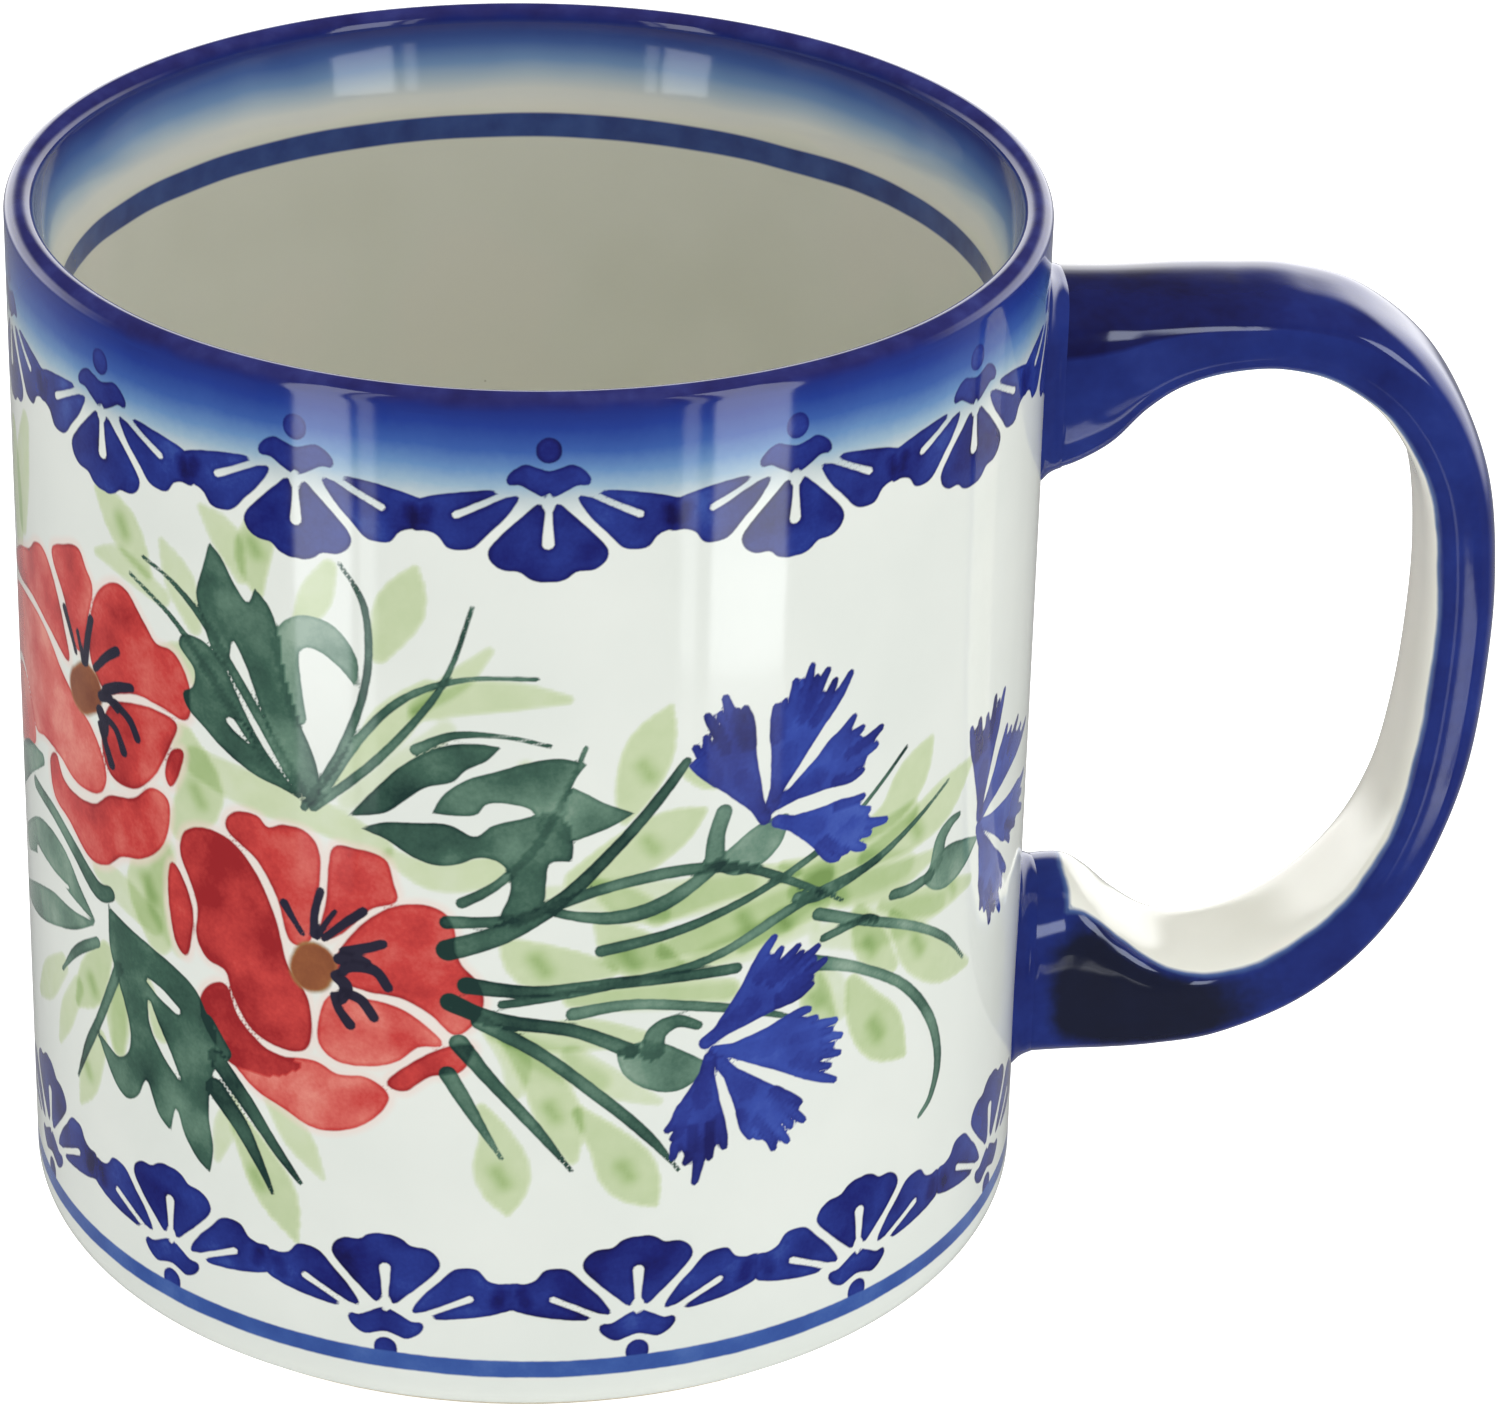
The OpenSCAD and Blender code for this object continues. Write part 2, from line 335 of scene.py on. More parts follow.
# The poppy above it, further round to the left.
HIGH_POPPY = [
    (0.5, [(-44.8, 67.2), (-42.3, 68.8), (-40, 69.5), (-38.8, 68.2), (-37.9, 66.8), (-38.7, 64),
        (-39.7, 60.6), (-41.4, 61), (-42.5, 64)]),
    (0.65, [(-38.3, 60.4), (-38.3, 63.6), (-37.2, 66.5), (-35.2, 68.3), (-33.2, 68.4), (-31.2, 66.4),
        (-29.8, 65), (-27.8, 64.8), (-26.3, 62.4), (-26.6, 59.5), (-29.2, 59.7), (-32, 59.8), (-34.4, 59),
        (-36.4, 58.4)]),
    (0.7, [(-35.8, 57.2), (-33.4, 58.4), (-30.4, 59), (-27.8, 58.7), (-28.4, 56.8), (-29.4, 54.8),
        (-30.4, 53.2), (-32.4, 51.3), (-34.8, 50.8), (-36.4, 51.6), (-37, 54)]),
    (0.72, [(-27.1, 56.4), (-27.6, 54.4), (-28.5, 52.9), (-29, 54), (-28.3, 56)]),
    (0.6, [(-46.8, 47.3), (-45.4, 48.6), (-44, 47), (-41.4, 46.6), (-38.4, 47.2), (-36.2, 48.9),
        (-33, 50), (-30.8, 51.8), (-28.9, 51.4), (-29, 48.8), (-30.2, 46.5), (-32.4, 44.9), (-34.8, 44.1),
        (-37, 42.4), (-39.6, 41.9), (-43, 43.7), (-46, 44.6)]),
    (0.3, [(-38.6, 54), (-37.2, 52.2), (-36.7, 50.2), (-38, 48.5), (-41.4, 48), (-44.6, 49), (-48, 49.1),
        (-50.6, 48.6), (-52.6, 51.2), (-55, 52.6), (-58, 52.2), (-62, 49), (-64.5, 51), (-63, 55.6),
        (-57, 58.8), (-51, 59.9), (-46.8, 59.2), (-43.6, 57), (-41, 55.4)]),
    (0.55, [(-42.2, 58.6), (-43, 61.6), (-44.6, 64.6), (-46.6, 66.4), (-48.8, 66.2), (-51, 64.6),
        (-55, 63), (-59, 60.4), (-56, 60.2), (-50.4, 60.9), (-46, 60)]),
    (0.25, [(-50.9, 47.8), (-53, 51), (-56, 51.8), (-59.6, 50), (-62.4, 46.8), (-60.4, 44.2), (-56, 44.6),
        (-52.6, 46)]),
]
HIGH_CENTRE = [(-40, 56.9, 2.1), (-39, 57.6, 2.2)]
HIGH_STAMENS = [
    [(-42.6, 63.2, 0.38), (-41.7, 61.7, 0.34), (-40.8, 60, 0.3)],
    [(-38.2, 64, 0.45), (-38.8, 62, 0.45), (-39.3, 59.8, 0.5)],
    [(-34.6, 62.6, 0.45), (-36.2, 61.4, 0.4), (-37.8, 59.8, 0.35)],
    [(-32.9, 60, 0.42), (-34.6, 59.4, 0.48), (-36.4, 58.4, 0.5)],
    [(-32.3, 55.7, 0.45), (-33.2, 57, 0.45), (-35, 57.8, 0.4)],
    [(-34.1, 53.8, 0.48), (-35, 55.4, 0.4), (-36.4, 56, 0.35)],
    [(-35.8, 52, 0.5), (-36.6, 53.6, 0.42), (-37.3, 55, 0.35)],
    [(-34.8, 57.3, 0.4), (-36, 57.9, 0.5), (-37, 57.6, 0.5)],
    [(-37.2, 56.2, 0.6), (-36.6, 55.2, 0.6), (-36.8, 54.2, 0.45)],
    [(-40.4, 62, 0.3), (-40, 60.8, 0.3), (-39.6, 59.6, 0.35)],
]

# The dark leaves: each lobe is a tone and an outline. A point given twice is a sharp tip.
LEAVES = [
    (0.62, [(-23.9, 75.7), (-23.9, 75.7), (-22.7, 74.6), (-21.6, 72.8), (-20.4, 71.5), (-19.7, 72.9),
        (-19.7, 72.9), (-18.5, 71.7), (-17.7, 69.8), (-17.3, 67.2), (-16.8, 64.8), (-15.8, 62),
        (-14.7, 59.4), (-14.2, 57), (-14.7, 54.8), (-14.7, 54.8), (-16.6, 57), (-18.3, 60), (-19.5, 63),
        (-20.6, 65.8), (-21.8, 67.8), (-22.2, 66), (-22.8, 65.2), (-24, 66.8), (-24.8, 69), (-25.3, 71),
        (-24.6, 73.4)]),
    (0.68, [(-14.9, 54.9), (-14.9, 54.9), (-17.2, 55.9), (-19.8, 56.5), (-22.4, 57.7), (-24.6, 59.2),
        (-26.4, 60.5), (-26.9, 61.8), (-25.9, 62.6), (-25.7, 64.2), (-27.2, 65.8), (-26.6, 67),
        (-24.6, 66.9), (-22.9, 65.6), (-21.6, 63.4), (-20.4, 61.2), (-18.8, 58.8), (-17, 56.8)]),
    (0.7, [(-11.9, 54.8), (-11.9, 54.8), (-9.8, 57.4), (-7.4, 60), (-4.6, 61.8), (-2, 62.3), (0.3, 62.1),
        (0.3, 62.1), (-0.9, 60.8), (-2.4, 60), (-3.6, 58.8), (-5.6, 58.2), (-7.2, 56.9), (-9, 55.5)]),
    (0.5, [(-5.1, 56), (-5.1, 56), (-4.2, 57.7), (-2.4, 59.1), (0, 60), (2.4, 60.8), (4.8, 61.1),
        (6.9, 60.6), (6.9, 60.6), (6, 59.2), (5.5, 57.6), (5.2, 56), (4.2, 54.4), (3, 54.6), (2.8, 56.4),
        (1.2, 57.1), (-0.8, 57.1), (-1.6, 56.1), (-3.2, 55.9)]),
    (0.42, [(5.6, 58.7), (5.6, 58.7), (7, 57.9), (8.4, 57), (10.7, 56), (10.7, 56), (8.8, 54.9),
        (7, 54.2), (5.6, 53.8), (4.4, 54.4), (4.4, 56.4)]),
    (0.7, [(-10.9, 53.9), (-10.9, 53.9), (-9, 54.7), (-6.4, 55), (-3.8, 55.1), (-1.8, 54.2), (-0.4, 55.2),
        (1.6, 55.8), (4.2, 56.4), (5.4, 55.4), (5.9, 53.6), (5.8, 52), (5.8, 52), (4.1, 51.9),
        (3.8, 50.2), (3.6, 48.4), (2, 46.4), (0.2, 46.8), (0.9, 49), (1, 50.6), (0.2, 51.9), (-1.4, 52.3),
        (-3.2, 51.6), (-5, 51.4), (-6.8, 52), (-8.8, 53.2)]),
    (0.58, [(-36.9, 38.6), (-36.9, 38.6), (-34.4, 37.9), (-31.4, 37.2), (-28.6, 36.4), (-26.4, 35.2),
        (-25.2, 33.4), (-24.2, 31.4), (-24.4, 29), (-25, 26.4), (-25.2, 23.6), (-24.8, 20.8),
        (-25.2, 18.3), (-25.2, 18.3), (-26.6, 19.2), (-27.9, 20.9), (-28.8, 23), (-29.5, 20.6),
        (-29.5, 20.6), (-31, 21.7), (-32.3, 24.2), (-33.4, 22.3), (-35, 21.3), (-36.6, 22), (-38, 23.7),
        (-39.5, 25.9), (-39.5, 25.9), (-37.6, 25.2), (-36, 24.8), (-34.6, 26), (-34.3, 28), (-35, 30.4),
        (-36, 32.6), (-36.9, 35)]),
]
# Curled and blurred lobes, each a tone and a full brush stroke.
LEAF_LOBES = [
    (0.22, [(-11.2, 66.4, 0.15), (-11.9, 68.3, 0.9), (-13.6, 69.9, 1.35), (-15.6, 70.1, 1.35),
        (-17, 68.6, 1.2), (-16.6, 65.4, 0.9), (-16, 62.6, 0.7)]),
    (0.4, [(-23.4, 30.3, 0.7), (-25.2, 32.4, 0.9)]),
    (0.35, [(-39.2, 36.2, 0.2), (-42, 37.4, 1), (-45.4, 38.7, 1.9), (-50, 38.6, 1.7), (-56, 35.6, 1.2)]),
    (0.3, [(-39.4, 35.8, 0.2), (-43, 34.4, 0.9), (-47, 33.4, 1.5), (-52, 31.6, 1.5), (-58, 29.6, 0.8)]),
    (0.3, [(-49, 46.4, 0.6), (-54, 44.2, 1.5), (-60, 40, 1.5), (-66, 36, 0.6)]),
]
# Gaps left between the lobes.
LEAF_GAPS = [
    [(-22.3, 60.7, 0.3), (-21.2, 60.2, 0.55), (-20.3, 59.4, 0.25)],
    [(-31.7, 33.8, 0.25), (-30.2, 33.2, 0.5), (-28.4, 32.4, 0.35)],
    [(-31.7, 31.8, 0.2), (-31.1, 29.9, 0.6), (-29.8, 27.9, 0.55), (-28.4, 26.1, 0.15)],
    [(-51.5, 36.6, 0.5), (-47, 36.6, 0.45), (-43.8, 37, 0.15)],
]
# Long blades of grass and the flower stalks. Each starts with the blob where the brush was set down.
BLADES = [
    (0.55, [(-15.6, 54.8, 0.35), (-12.4, 60.4, 0.42), (-10.3, 67, 0.34), (-10.4, 73, 0.3),
        (-12.4, 76.5, 0.12)]),
    (0.55, [(-14.8, 55, 0.4), (-9.4, 60.2, 0.4), (-4.4, 67, 0.28), (-2, 74, 0.1)]),
    (0.45, [(-14.2, 56, 0.4), (-11, 61.6, 0.42), (-7.2, 65.8, 0.34), (-2.4, 67.8, 0.24), (3, 68, 0.1)]),
    (0.6, [(-16, 56.4, 0.55), (-19.4, 61.6, 0.5), (-24, 68, 0.4), (-27.6, 71, 0.26), (-31, 72.2, 0.12)]),
    (0.5, [(-18, 57, 0.4), (-22.6, 62.4, 0.42), (-27.4, 67.6, 0.3), (-32.6, 70.2, 0.1)]),
    (0.5, [(-6.4, 61.4, 0.5), (-3.4, 62.9, 0.36), (0.4, 63, 0.2), (4, 62.2, 0.08)]),
    (0.5, [(-2.8, 48.2, 0.5), (0, 50, 0.4), (3, 53.4, 0.36), (5, 57.4, 0.3), (6.8, 62, 0.08)]),
    (0.75, [(-3.9, 43.9, 0.95), (0.4, 45.6, 0.9), (5, 48.6, 0.65), (9.6, 53.4, 0.52), (12.6, 57, 0.5),
        (14.8, 60, 0.4)]),
    (0.6, [(-4, 46.4, 0.6), (1.6, 47, 0.45), (8, 49.4, 0.5), (14.4, 50.4, 0.55), (20, 49.6, 0.45),
        (25.2, 46.8, 0.35), (29.2, 44.2, 0.12)]),
    (0.5, [(4, 47.6, 0.3), (8.8, 46.8, 0.6), (13, 47.6, 0.7), (17.6, 50.4, 0.5)]),
    (0.55, [(8.2, 43.9, 0.55), (15, 45.2, 0.45), (22, 47.5, 0.36), (29, 50.7, 0.3), (35.8, 55.8, 0.12)]),
    (0.65, [(-2.4, 40.8, 0.8), (3, 40.4, 0.55), (10, 40.9, 0.55), (19.4, 40.7, 0.5)]),
    (0.5, [(0.4, 39.2, 0.4), (9, 40.7, 0.4), (17, 42, 0.42), (25, 45.2, 0.5), (33, 46.8, 0.4),
        (41.6, 50.5, 0.12)]),
    (0.75, [(-3.7, 39.2, 0.85), (0, 37.8, 0.7), (6, 36.8, 0.6), (10.6, 34.6, 0.7)]),
    (0.4, [(6, 38.3, 0.6), (11, 38.8, 0.5), (18, 37.4, 0.44), (23, 35.6, 0.3), (25.6, 34.2, 0.1)]),
    (0.45, [(24.8, 45.7, 0.6), (27.4, 45.4, 0.5), (33, 46.7, 0.35)]),
    (0.35, [(26.8, 43.7, 0.6), (31, 41.8, 0.5), (37.4, 38.8, 0.44), (42.2, 35.6, 0.36),
        (45.2, 32.4, 0.1)]),
    (0.6, [(27.4, 41.3, 0.4), (31.4, 41.7, 0.4), (33, 41.2, 0.3)]),
    (0.4, [(26.6, 39.3, 0.7), (31, 37.4, 0.5), (36.6, 33.6, 0.5), (40.4, 28.8, 0.55), (41.8, 24.4, 0.55),
        (41, 21.2, 0.4), (39.4, 19.9, 0.25)]),
    (0.55, [(-3.9, 32.6, 0.75), (-2.2, 29.6, 0.6), (0.4, 25, 0.15)]),
    (0.65, [(-3, 35.5, 0.85), (-0.6, 32.4, 0.6), (3, 28, 0.5), (6, 23.8, 0.12)]),
    (0.6, [(-1.4, 37.6, 0.7), (3.6, 34.6, 0.6), (9, 29.8, 0.55), (12.4, 26.2, 0.45), (14.8, 22.9, 0.12)]),
    (0.75, [(-24.2, 29.4, 0.9), (-21.4, 26.4, 0.75), (-18.4, 22.6, 0.5), (-16.4, 20.2, 0.25)]),
    (0.8, [(-24.4, 26.6, 1), (-22, 24, 0.85), (-20.2, 21, 0.5), (-19, 18.5, 0.2)]),
    (0.55, [(-35.6, 33.4, 0.6), (-38.6, 27.4, 0.5), (-41, 23.4, 0.5), (-43, 19.5, 0.15)]),
    (0.45, [(-38.8, 34.3, 0.5), (-42.4, 31.8, 0.5), (-45.6, 28.4, 0.15)]),
    (0.6, [(-36.6, 39.8, 0.7), (-38.6, 39.4, 0.9), (-42.4, 41.4, 0.75), (-46.4, 42.8, 0.7),
        (-51.6, 43, 0.6)]),
]
# Cups and stalks of the cornflowers.
CALYXES = [
    (0.4, [(18, 55, 0.7), (17.4, 53, 0.75), (17.3, 50.9, 0.9)]),
    (0.2, [(17.6, 50.4, 0.5), (19.6, 50.6, 1.5), (21.6, 51.8, 1.6), (23.4, 53.3, 0.4)]),
    (0.3, [(10, 34.4, 0.5), (12, 33.3, 2), (14.2, 32.2, 1.9), (16.2, 32.2, 0.8)]),
    (0.5, [(12.4, 34.4, 1), (12.8, 36, 0.85), (14.4, 36.8, 0.6), (16.2, 36.1, 0.4)]),
    (0.25, [(39.2, 42.5, 0.6), (41.6, 42.4, 1.9), (44, 42.4, 1.5), (46.6, 42.8, 0.3)]),
    (0.3, [(40.4, 43.6, 0.9), (40.9, 45.4, 0.8), (42.2, 46.3, 0.55), (43.5, 46.5, 0.3)]),
    (0.6, [(34.8, 42.7, 0.5), (37, 42.4, 0.55), (39.6, 42.6, 0.5)]),
]
# Cornflowers: for each petal a tone, its foot, and the tips of its fringe from one side to the other.
CORNFLOWERS = [
    (0.6, (21.3, 54.2), [(15.3, 59.6), (15.5, 61.1), (16.4, 63.7), (17.9, 65), (19.6, 63.8)]),
    (0.5, (22.3, 55.2), [(22.3, 63.4), (24, 65.2), (25.5, 66.2), (27, 65.4), (29.3, 64.5)]),
    (0.4, (23, 54.9), [(29.8, 60.5), (32.7, 58.6), (32.2, 57.2), (30.8, 55.4)]),
    (0.35, (23.2, 53), [(31, 53), (33.6, 50), (31.3, 48.3), (28.6, 48.2)]),
    (0.5, (17.4, 34.7), [(22.7, 42.7), (25, 41.3), (26.9, 40.7), (27.6, 39.2), (26.4, 37.4)]),
    (0.4, (18.3, 33.3), [(26.2, 35.1), (28.9, 33.2), (29.5, 31.6), (29.4, 30), (29, 27.6)]),
    (0.5, (18.4, 32), [(21, 24.7), (23.2, 23), (24.5, 23.3), (26, 24.8), (25.6, 26.6)]),
    (0.6, (17.2, 32.4), [(18.7, 24.3), (16.2, 21.5), (14.3, 24.1), (13.8, 26.8)]),
    (0.6, (47.2, 45.3), [(45, 53.6), (46.5, 53.8), (49.5, 54.6), (51.5, 54.3)]),
    (0.45, (47.9, 44.9), [(52.6, 50.4), (56, 49.6), (60, 47.4)]),
    (0.35, (47.8, 43.6), [(60.4, 42.4), (60, 39.2), (55, 38.6)]),
    (0.55, (47.4, 43), [(54.2, 36.2), (53, 33), (50.4, 33.2), (48.3, 35.6)]),
]
# Pale leaves: an amount of paint and a soft stroke from tip to foot.
WASHES = [
    (0.5, [(-36.6, 76, 0.5), (-33.4, 74, 2.1), (-30.6, 71, 0.6)]),
    (0.45, [(-37, 70.4, 0.4), (-33.6, 70.8, 1.3), (-29, 69.4, 0.9)]),
    (0.45, [(-28.8, 74.2, 0.4), (-27, 71.4, 1.7), (-25.6, 68, 0.8)]),
    (0.5, [(-29, 64.6, 0.7), (-25.8, 64.4, 1.8), (-22.6, 62.4, 1)]),
    (0.5, [(-24.6, 78.4, 0.4), (-22.4, 76.6, 1.5), (-21, 73.4, 0.5)]),
    (0.6, [(-19.2, 77.8, 1.5), (-19.9, 75.4, 1.6), (-19.4, 72.6, 0.5)]),
    (0.5, [(-13.3, 76, 0.7), (-14.4, 73.4, 1.4), (-15.6, 71, 0.8)]),
    (0.55, [(-6.4, 76.8, 0.4), (-7.6, 73.4, 2), (-9.3, 69.4, 0.9)]),
    (0.45, [(-0.7, 70.3, 0.4), (-3.2, 67.6, 1), (-6.4, 65, 0.6)]),
    (0.5, [(5.4, 66.2, 0.4), (1.6, 66.5, 1.2), (-2.6, 66.1, 1.4), (-6.4, 64.4, 0.6)]),
    (0.5, [(-5.4, 66.8, 0.8), (-8.2, 63.6, 1.7), (-10.8, 60, 1), (-13, 57.4, 0.4)]),
    (0.55, [(13.4, 64.9, 0.3), (11.9, 61.6, 2), (10.7, 58, 1.6), (9.9, 55.4, 0.4)]),
    (0.55, [(16.2, 55.4, 0.4), (13.4, 54, 1.9), (10, 52.1, 2.1), (6.2, 50.4, 1)]),
    (0.6, [(18.6, 57.8, 0.4), (16.6, 58.4, 1.1), (14.4, 59.4, 0.4)]),
    (0.5, [(38.8, 55.2, 0.5), (36.6, 52.8, 2.1), (34, 50.4, 1.4), (30, 49.4, 0.7)]),
    (0.5, [(44.8, 50.6, 0.6), (41, 48.9, 2.1), (36.8, 47.8, 1.8), (31.6, 47.2, 0.9)]),
    (0.5, [(39.6, 44.4, 0.6), (34, 44.2, 1.6), (28.6, 45.2, 1.4), (24.6, 46.4, 0.8)]),
    (0.5, [(36.6, 49.6, 1), (32, 48.4, 1.5), (27, 48, 1.2), (23.4, 49, 0.5)]),
    (0.55, [(31, 42.4, 0.8), (32.6, 38.8, 1.7), (35.2, 36, 0.6)]),
    (0.5, [(45.6, 39.4, 0.6), (41, 40, 1.5), (37, 41, 1.2), (33.6, 42.2, 0.5)]),
    (0.55, [(46, 31.5, 0.4), (42.2, 33.2, 1.7), (38.6, 36, 2.1), (36.2, 38.8, 1.2), (34.8, 40.8, 0.5)]),
    (0.65, [(37, 26.9, 0.3), (34.3, 29.9, 2.3), (32, 33, 1.9), (30.6, 36.2, 0.7)]),
    (0.6, [(26.4, 38.6, 0.6), (26.8, 36, 1.5), (28.6, 33.2, 0.5)]),
    (0.5, [(12.6, 46.4, 0.8), (16, 48.2, 1.5), (20, 48.6, 1.3), (24.4, 48.2, 0.7)]),
    (0.5, [(13.4, 43.4, 0.8), (18, 44.6, 1.6), (22.4, 46, 1.7), (27, 47.2, 1.3)]),
    (0.45, [(20, 42.6, 0.7), (23.4, 44, 1.2), (27, 44.6, 1)]),
    (0.55, [(0.6, 44.8, 0.5), (3, 42.8, 2.1), (6.6, 42.4, 1.4), (9, 42, 0.5)]),
    (0.55, [(8, 46.2, 0.5), (10.6, 43.6, 2.1), (14.2, 41.6, 0.9)]),
    (0.45, [(7.6, 50, 0.6), (10.4, 47.8, 1.4), (13, 46.6, 0.7)]),
    (0.4, [(6, 39.8, 0.8), (12, 40, 1.2), (18.6, 39, 1)]),
    (0.5, [(0, 36.6, 0.8), (3, 36.2, 1.2), (7, 36.4, 1.5), (11.4, 35.6, 0.8)]),
    (0.55, [(0.9, 19.9, 0.3), (0.5, 23.4, 2.3), (0, 26.8, 1.4), (-1.2, 29.6, 0.5)]),
    (0.6, [(12.9, 20, 0.3), (10.8, 23, 2.3), (8.9, 26.2, 1.6), (6.6, 29.2, 0.6)]),
    (0.55, [(6, 25, 0.6), (5, 28.8, 1.9), (3.4, 32.6, 1.5), (1, 36, 0.8)]),
    (0.4, [(-0.8, 37.4, 0.8), (1.4, 34.4, 1.3), (1.4, 31.2, 0.7)]),
    (0.4, [(13, 29.6, 0.4), (9, 31.8, 1.3), (6, 34.6, 0.9)]),
    (0.6, [(-16.8, 14.5, 0.2), (-18.6, 18.4, 2), (-20.6, 21.8, 1.7), (-22.6, 25, 0.7)]),
    (0.45, [(-14.4, 21.2, 0.3), (-16.6, 24.4, 1.4), (-18.8, 27.4, 0.9)]),
    (0.4, [(-24.4, 20, 0.4), (-23.6, 23.2, 1.1), (-22.6, 26, 0.6)]),
    (0.5, [(-42.6, 17.2, 0.3), (-41, 20.4, 1.6), (-38.8, 25, 1.1)]),
    (0.45, [(-46.8, 21, 0.4), (-45, 24.4, 1.3), (-42.4, 28.4, 0.9)]),
    (0.45, [(-52.6, 22.6, 0.6), (-49.4, 25.4, 1.7), (-45.4, 29, 1)]),
    (0.6, [(-42.4, 27, 0.6), (-40, 30, 2), (-37.4, 34, 1)]),
    (0.5, [(-36, 25.6, 0.9), (-36.2, 28.4, 1.5), (-35.4, 31.6, 0.8)]),
    (0.5, [(-32, 33.4, 0.8), (-30.4, 29.6, 1)]),
    (0.5, [(-56, 73, 1.4), (-55.6, 68, 2.6), (-55, 63, 1.7)]),
    (0.45, [(-50.6, 76, 1.1), (-52.4, 71, 2.3), (-53, 66.6, 1.5)]),
    (0.5, [(-30.4, 38.4, 1.5), (-31.8, 42.4, 2.3), (-30, 46.2, 1.6)]),
    (0.4, [(-38, 41.6, 1.2), (-34.6, 40.8, 1.6), (-31, 39.6, 1.2)]),
    (0.55, [(-27, 57.6, 1.4), (-25.4, 53.6, 2.4), (-27.4, 49.6, 1.4)]),
    (0.45, [(-25.6, 56, 1.4), (-20, 55, 1.8), (-14, 54.2, 1.5), (-9.4, 52.4, 1.2)]),
    (0.45, [(-8.4, 51.8, 0.7), (-5, 50.4, 1.3), (-1, 51, 1.4), (3, 52.6, 0.8)]),
]
# Thin wash between the stalks: broader strokes, all of one amount.
THIN_WASHES = [
    [(3, 49, 0.8), (9, 48.6, 1.6), (15, 47.8, 1.8), (20, 48, 1.2)],
    [(9, 43.4, 1), (15, 43.4, 1.9), (21, 44.4, 2.1), (27, 46.2, 1.4)],
    [(15, 41.6, 0.8), (20, 42.6, 1.6), (26, 43.6, 1.4)],
    [(26, 46.6, 1.2), (31, 45.8, 2.1), (36, 45, 1.3)],
    [(27, 41.6, 1), (31, 41, 1.9), (36, 40, 1.9), (41, 39.4, 1)],
    [(6, 39.6, 0.8), (12, 39.2, 1.2), (19, 38.6, 1)],
    [(1.4, 35.8, 0.8), (4.6, 34, 1.5), (8, 32, 1)],
    [(27.6, 38.4, 0.8), (28.6, 36, 1.4), (29.4, 33.6, 0.6)],
    [(-12, 56, 0.8), (-8, 59.4, 1.2), (-4, 63.4, 0.8)],
    [(-33, 36, 1), (-35, 31, 1.8), (-36, 26, 1)],
    [(-29, 47, 1), (-30, 42, 1.8), (-28, 38.4, 1)],
]
THIN_WASH, SPOT = 0.34, 0.6
# Darker touches inside the pale leaves: (s, z, radius).
SPOTS = [
    (-33.4, 74, 1), (-19.7, 76.4, 0.9), (-20.4, 19.4, 1), (-39.8, 29.8, 1), (3.4, 42.8, 1.2),
    (10.4, 43, 1.2), (20, 44.9, 0.9), (0.3, 23.2, 1), (10.4, 23.4, 1), (33.4, 30.8, 1.3), (32.4, 38.8, 1),
    (38.2, 36.8, 1.2), (37.4, 47.8, 1.1), (23.6, 43.8, 0.9), (11.6, 59.6, 1), (4.4, 29.4, 1),
    (-31.4, 42.6, 1.3), (29, 44.8, 1), (-25.6, 53, 1.1), (2.4, 60, 0.8), (26.8, 35.8, 0.8), (43, 40, 0.8),
    (12, 53, 0.9), (-41, 21, 0.8),
]
# How far the red runs out past the outlines of the petals.
RED_GROW = 0.12


def moved(points, shift):
    return [(p[0] + shift,) + tuple(p[1:]) for p in points]


def cornflower_petal(wall, shift, rng, tone, foot, tips):
    """A petal that widens from its foot, with a fringe of brush tips."""
    foot = np.asarray(foot)
    tips = np.asarray(tips)
    splits = foot + 0.8 * (tips - foot)
    sides = foot + 0.45 * (tips[[0, -1]] - foot)
    outline = [foot, foot, sides[0], *splits, sides[1]]
    wall.patch("cornflower", moved(outline, shift), tone, build=0.1, grow=0.34)
    middle = tips.mean(0) - foot
    root = [(*(foot - 0.06 * middle), 0.6), (*(foot + 0.2 * middle), 0.75), (*(foot + 0.4 * middle), 0.9)]
    wall.stroke("cornflower", moved(root, shift), tone, build=0.1)
    between = foot + 0.93 * ((tips[1:] + tips[:-1]) / 2 - foot)
    for tip in (*tips, *between):
        reach = tip - foot
        knee = foot + 0.86 * reach + rng.normal(0, 0.15, 2)
        path = [(*(foot + 0.66 * reach), 0.5), (*knee, 0.5), (*tip, 0.34)]
        wall.stroke("cornflower", moved(path, shift), min(0.9, tone + rng.normal(0.1, 0.12)), build=0.0)


def bouquet(wall, shift, rng):
    """The whole spray of flowers, with its middle moved round the wall by shift."""
    for amount, path in WASHES:
        wall.dilute(moved(path, shift), amount, soft=0.3)
    for path in THIN_WASHES:
        wall.dilute(moved(path, shift), THIN_WASH, soft=0.5)
    for s, z, r in SPOTS:
        touch = [(s - 0.3 * r, z + 0.5 * r, 0.5 * r), (s + 0.3 * r, z - 0.5 * r, 0.5 * r)]
        wall.dilute(moved(touch, shift), SPOT, soft=0.9)
    for tone, petal in LOW_POPPY + HIGH_POPPY:
        wall.patch("red", moved(petal, shift), tone, build=0.1, grow=RED_GROW)
    for tone, outline in LEAVES:
        wall.patch("leaf", moved(outline, shift), tone, build=0.08)
    for tone, path in CALYXES + LEAF_LOBES:
        wall.stroke("leaf", moved(path, shift), tone, build=0.1)
    for path in LEAF_GAPS:
        wall.lift("leaf", moved(path, shift))
    for tone, foot, tips in CORNFLOWERS:
        cornflower_petal(wall, shift, rng, tone, foot, tips)
    for tone, path in BLADES:
        wall.stroke("leaf", moved(path, shift), tone, build=0.18)
    for stem in LOW_STAMENS + HIGH_STAMENS:
        wall.stroke("stamen", moved(stem, shift), 0.6)
    for centre in (LOW_CENTRE, HIGH_CENTRE):
        wall.stroke("centre", moved(centre, shift), 0.5)


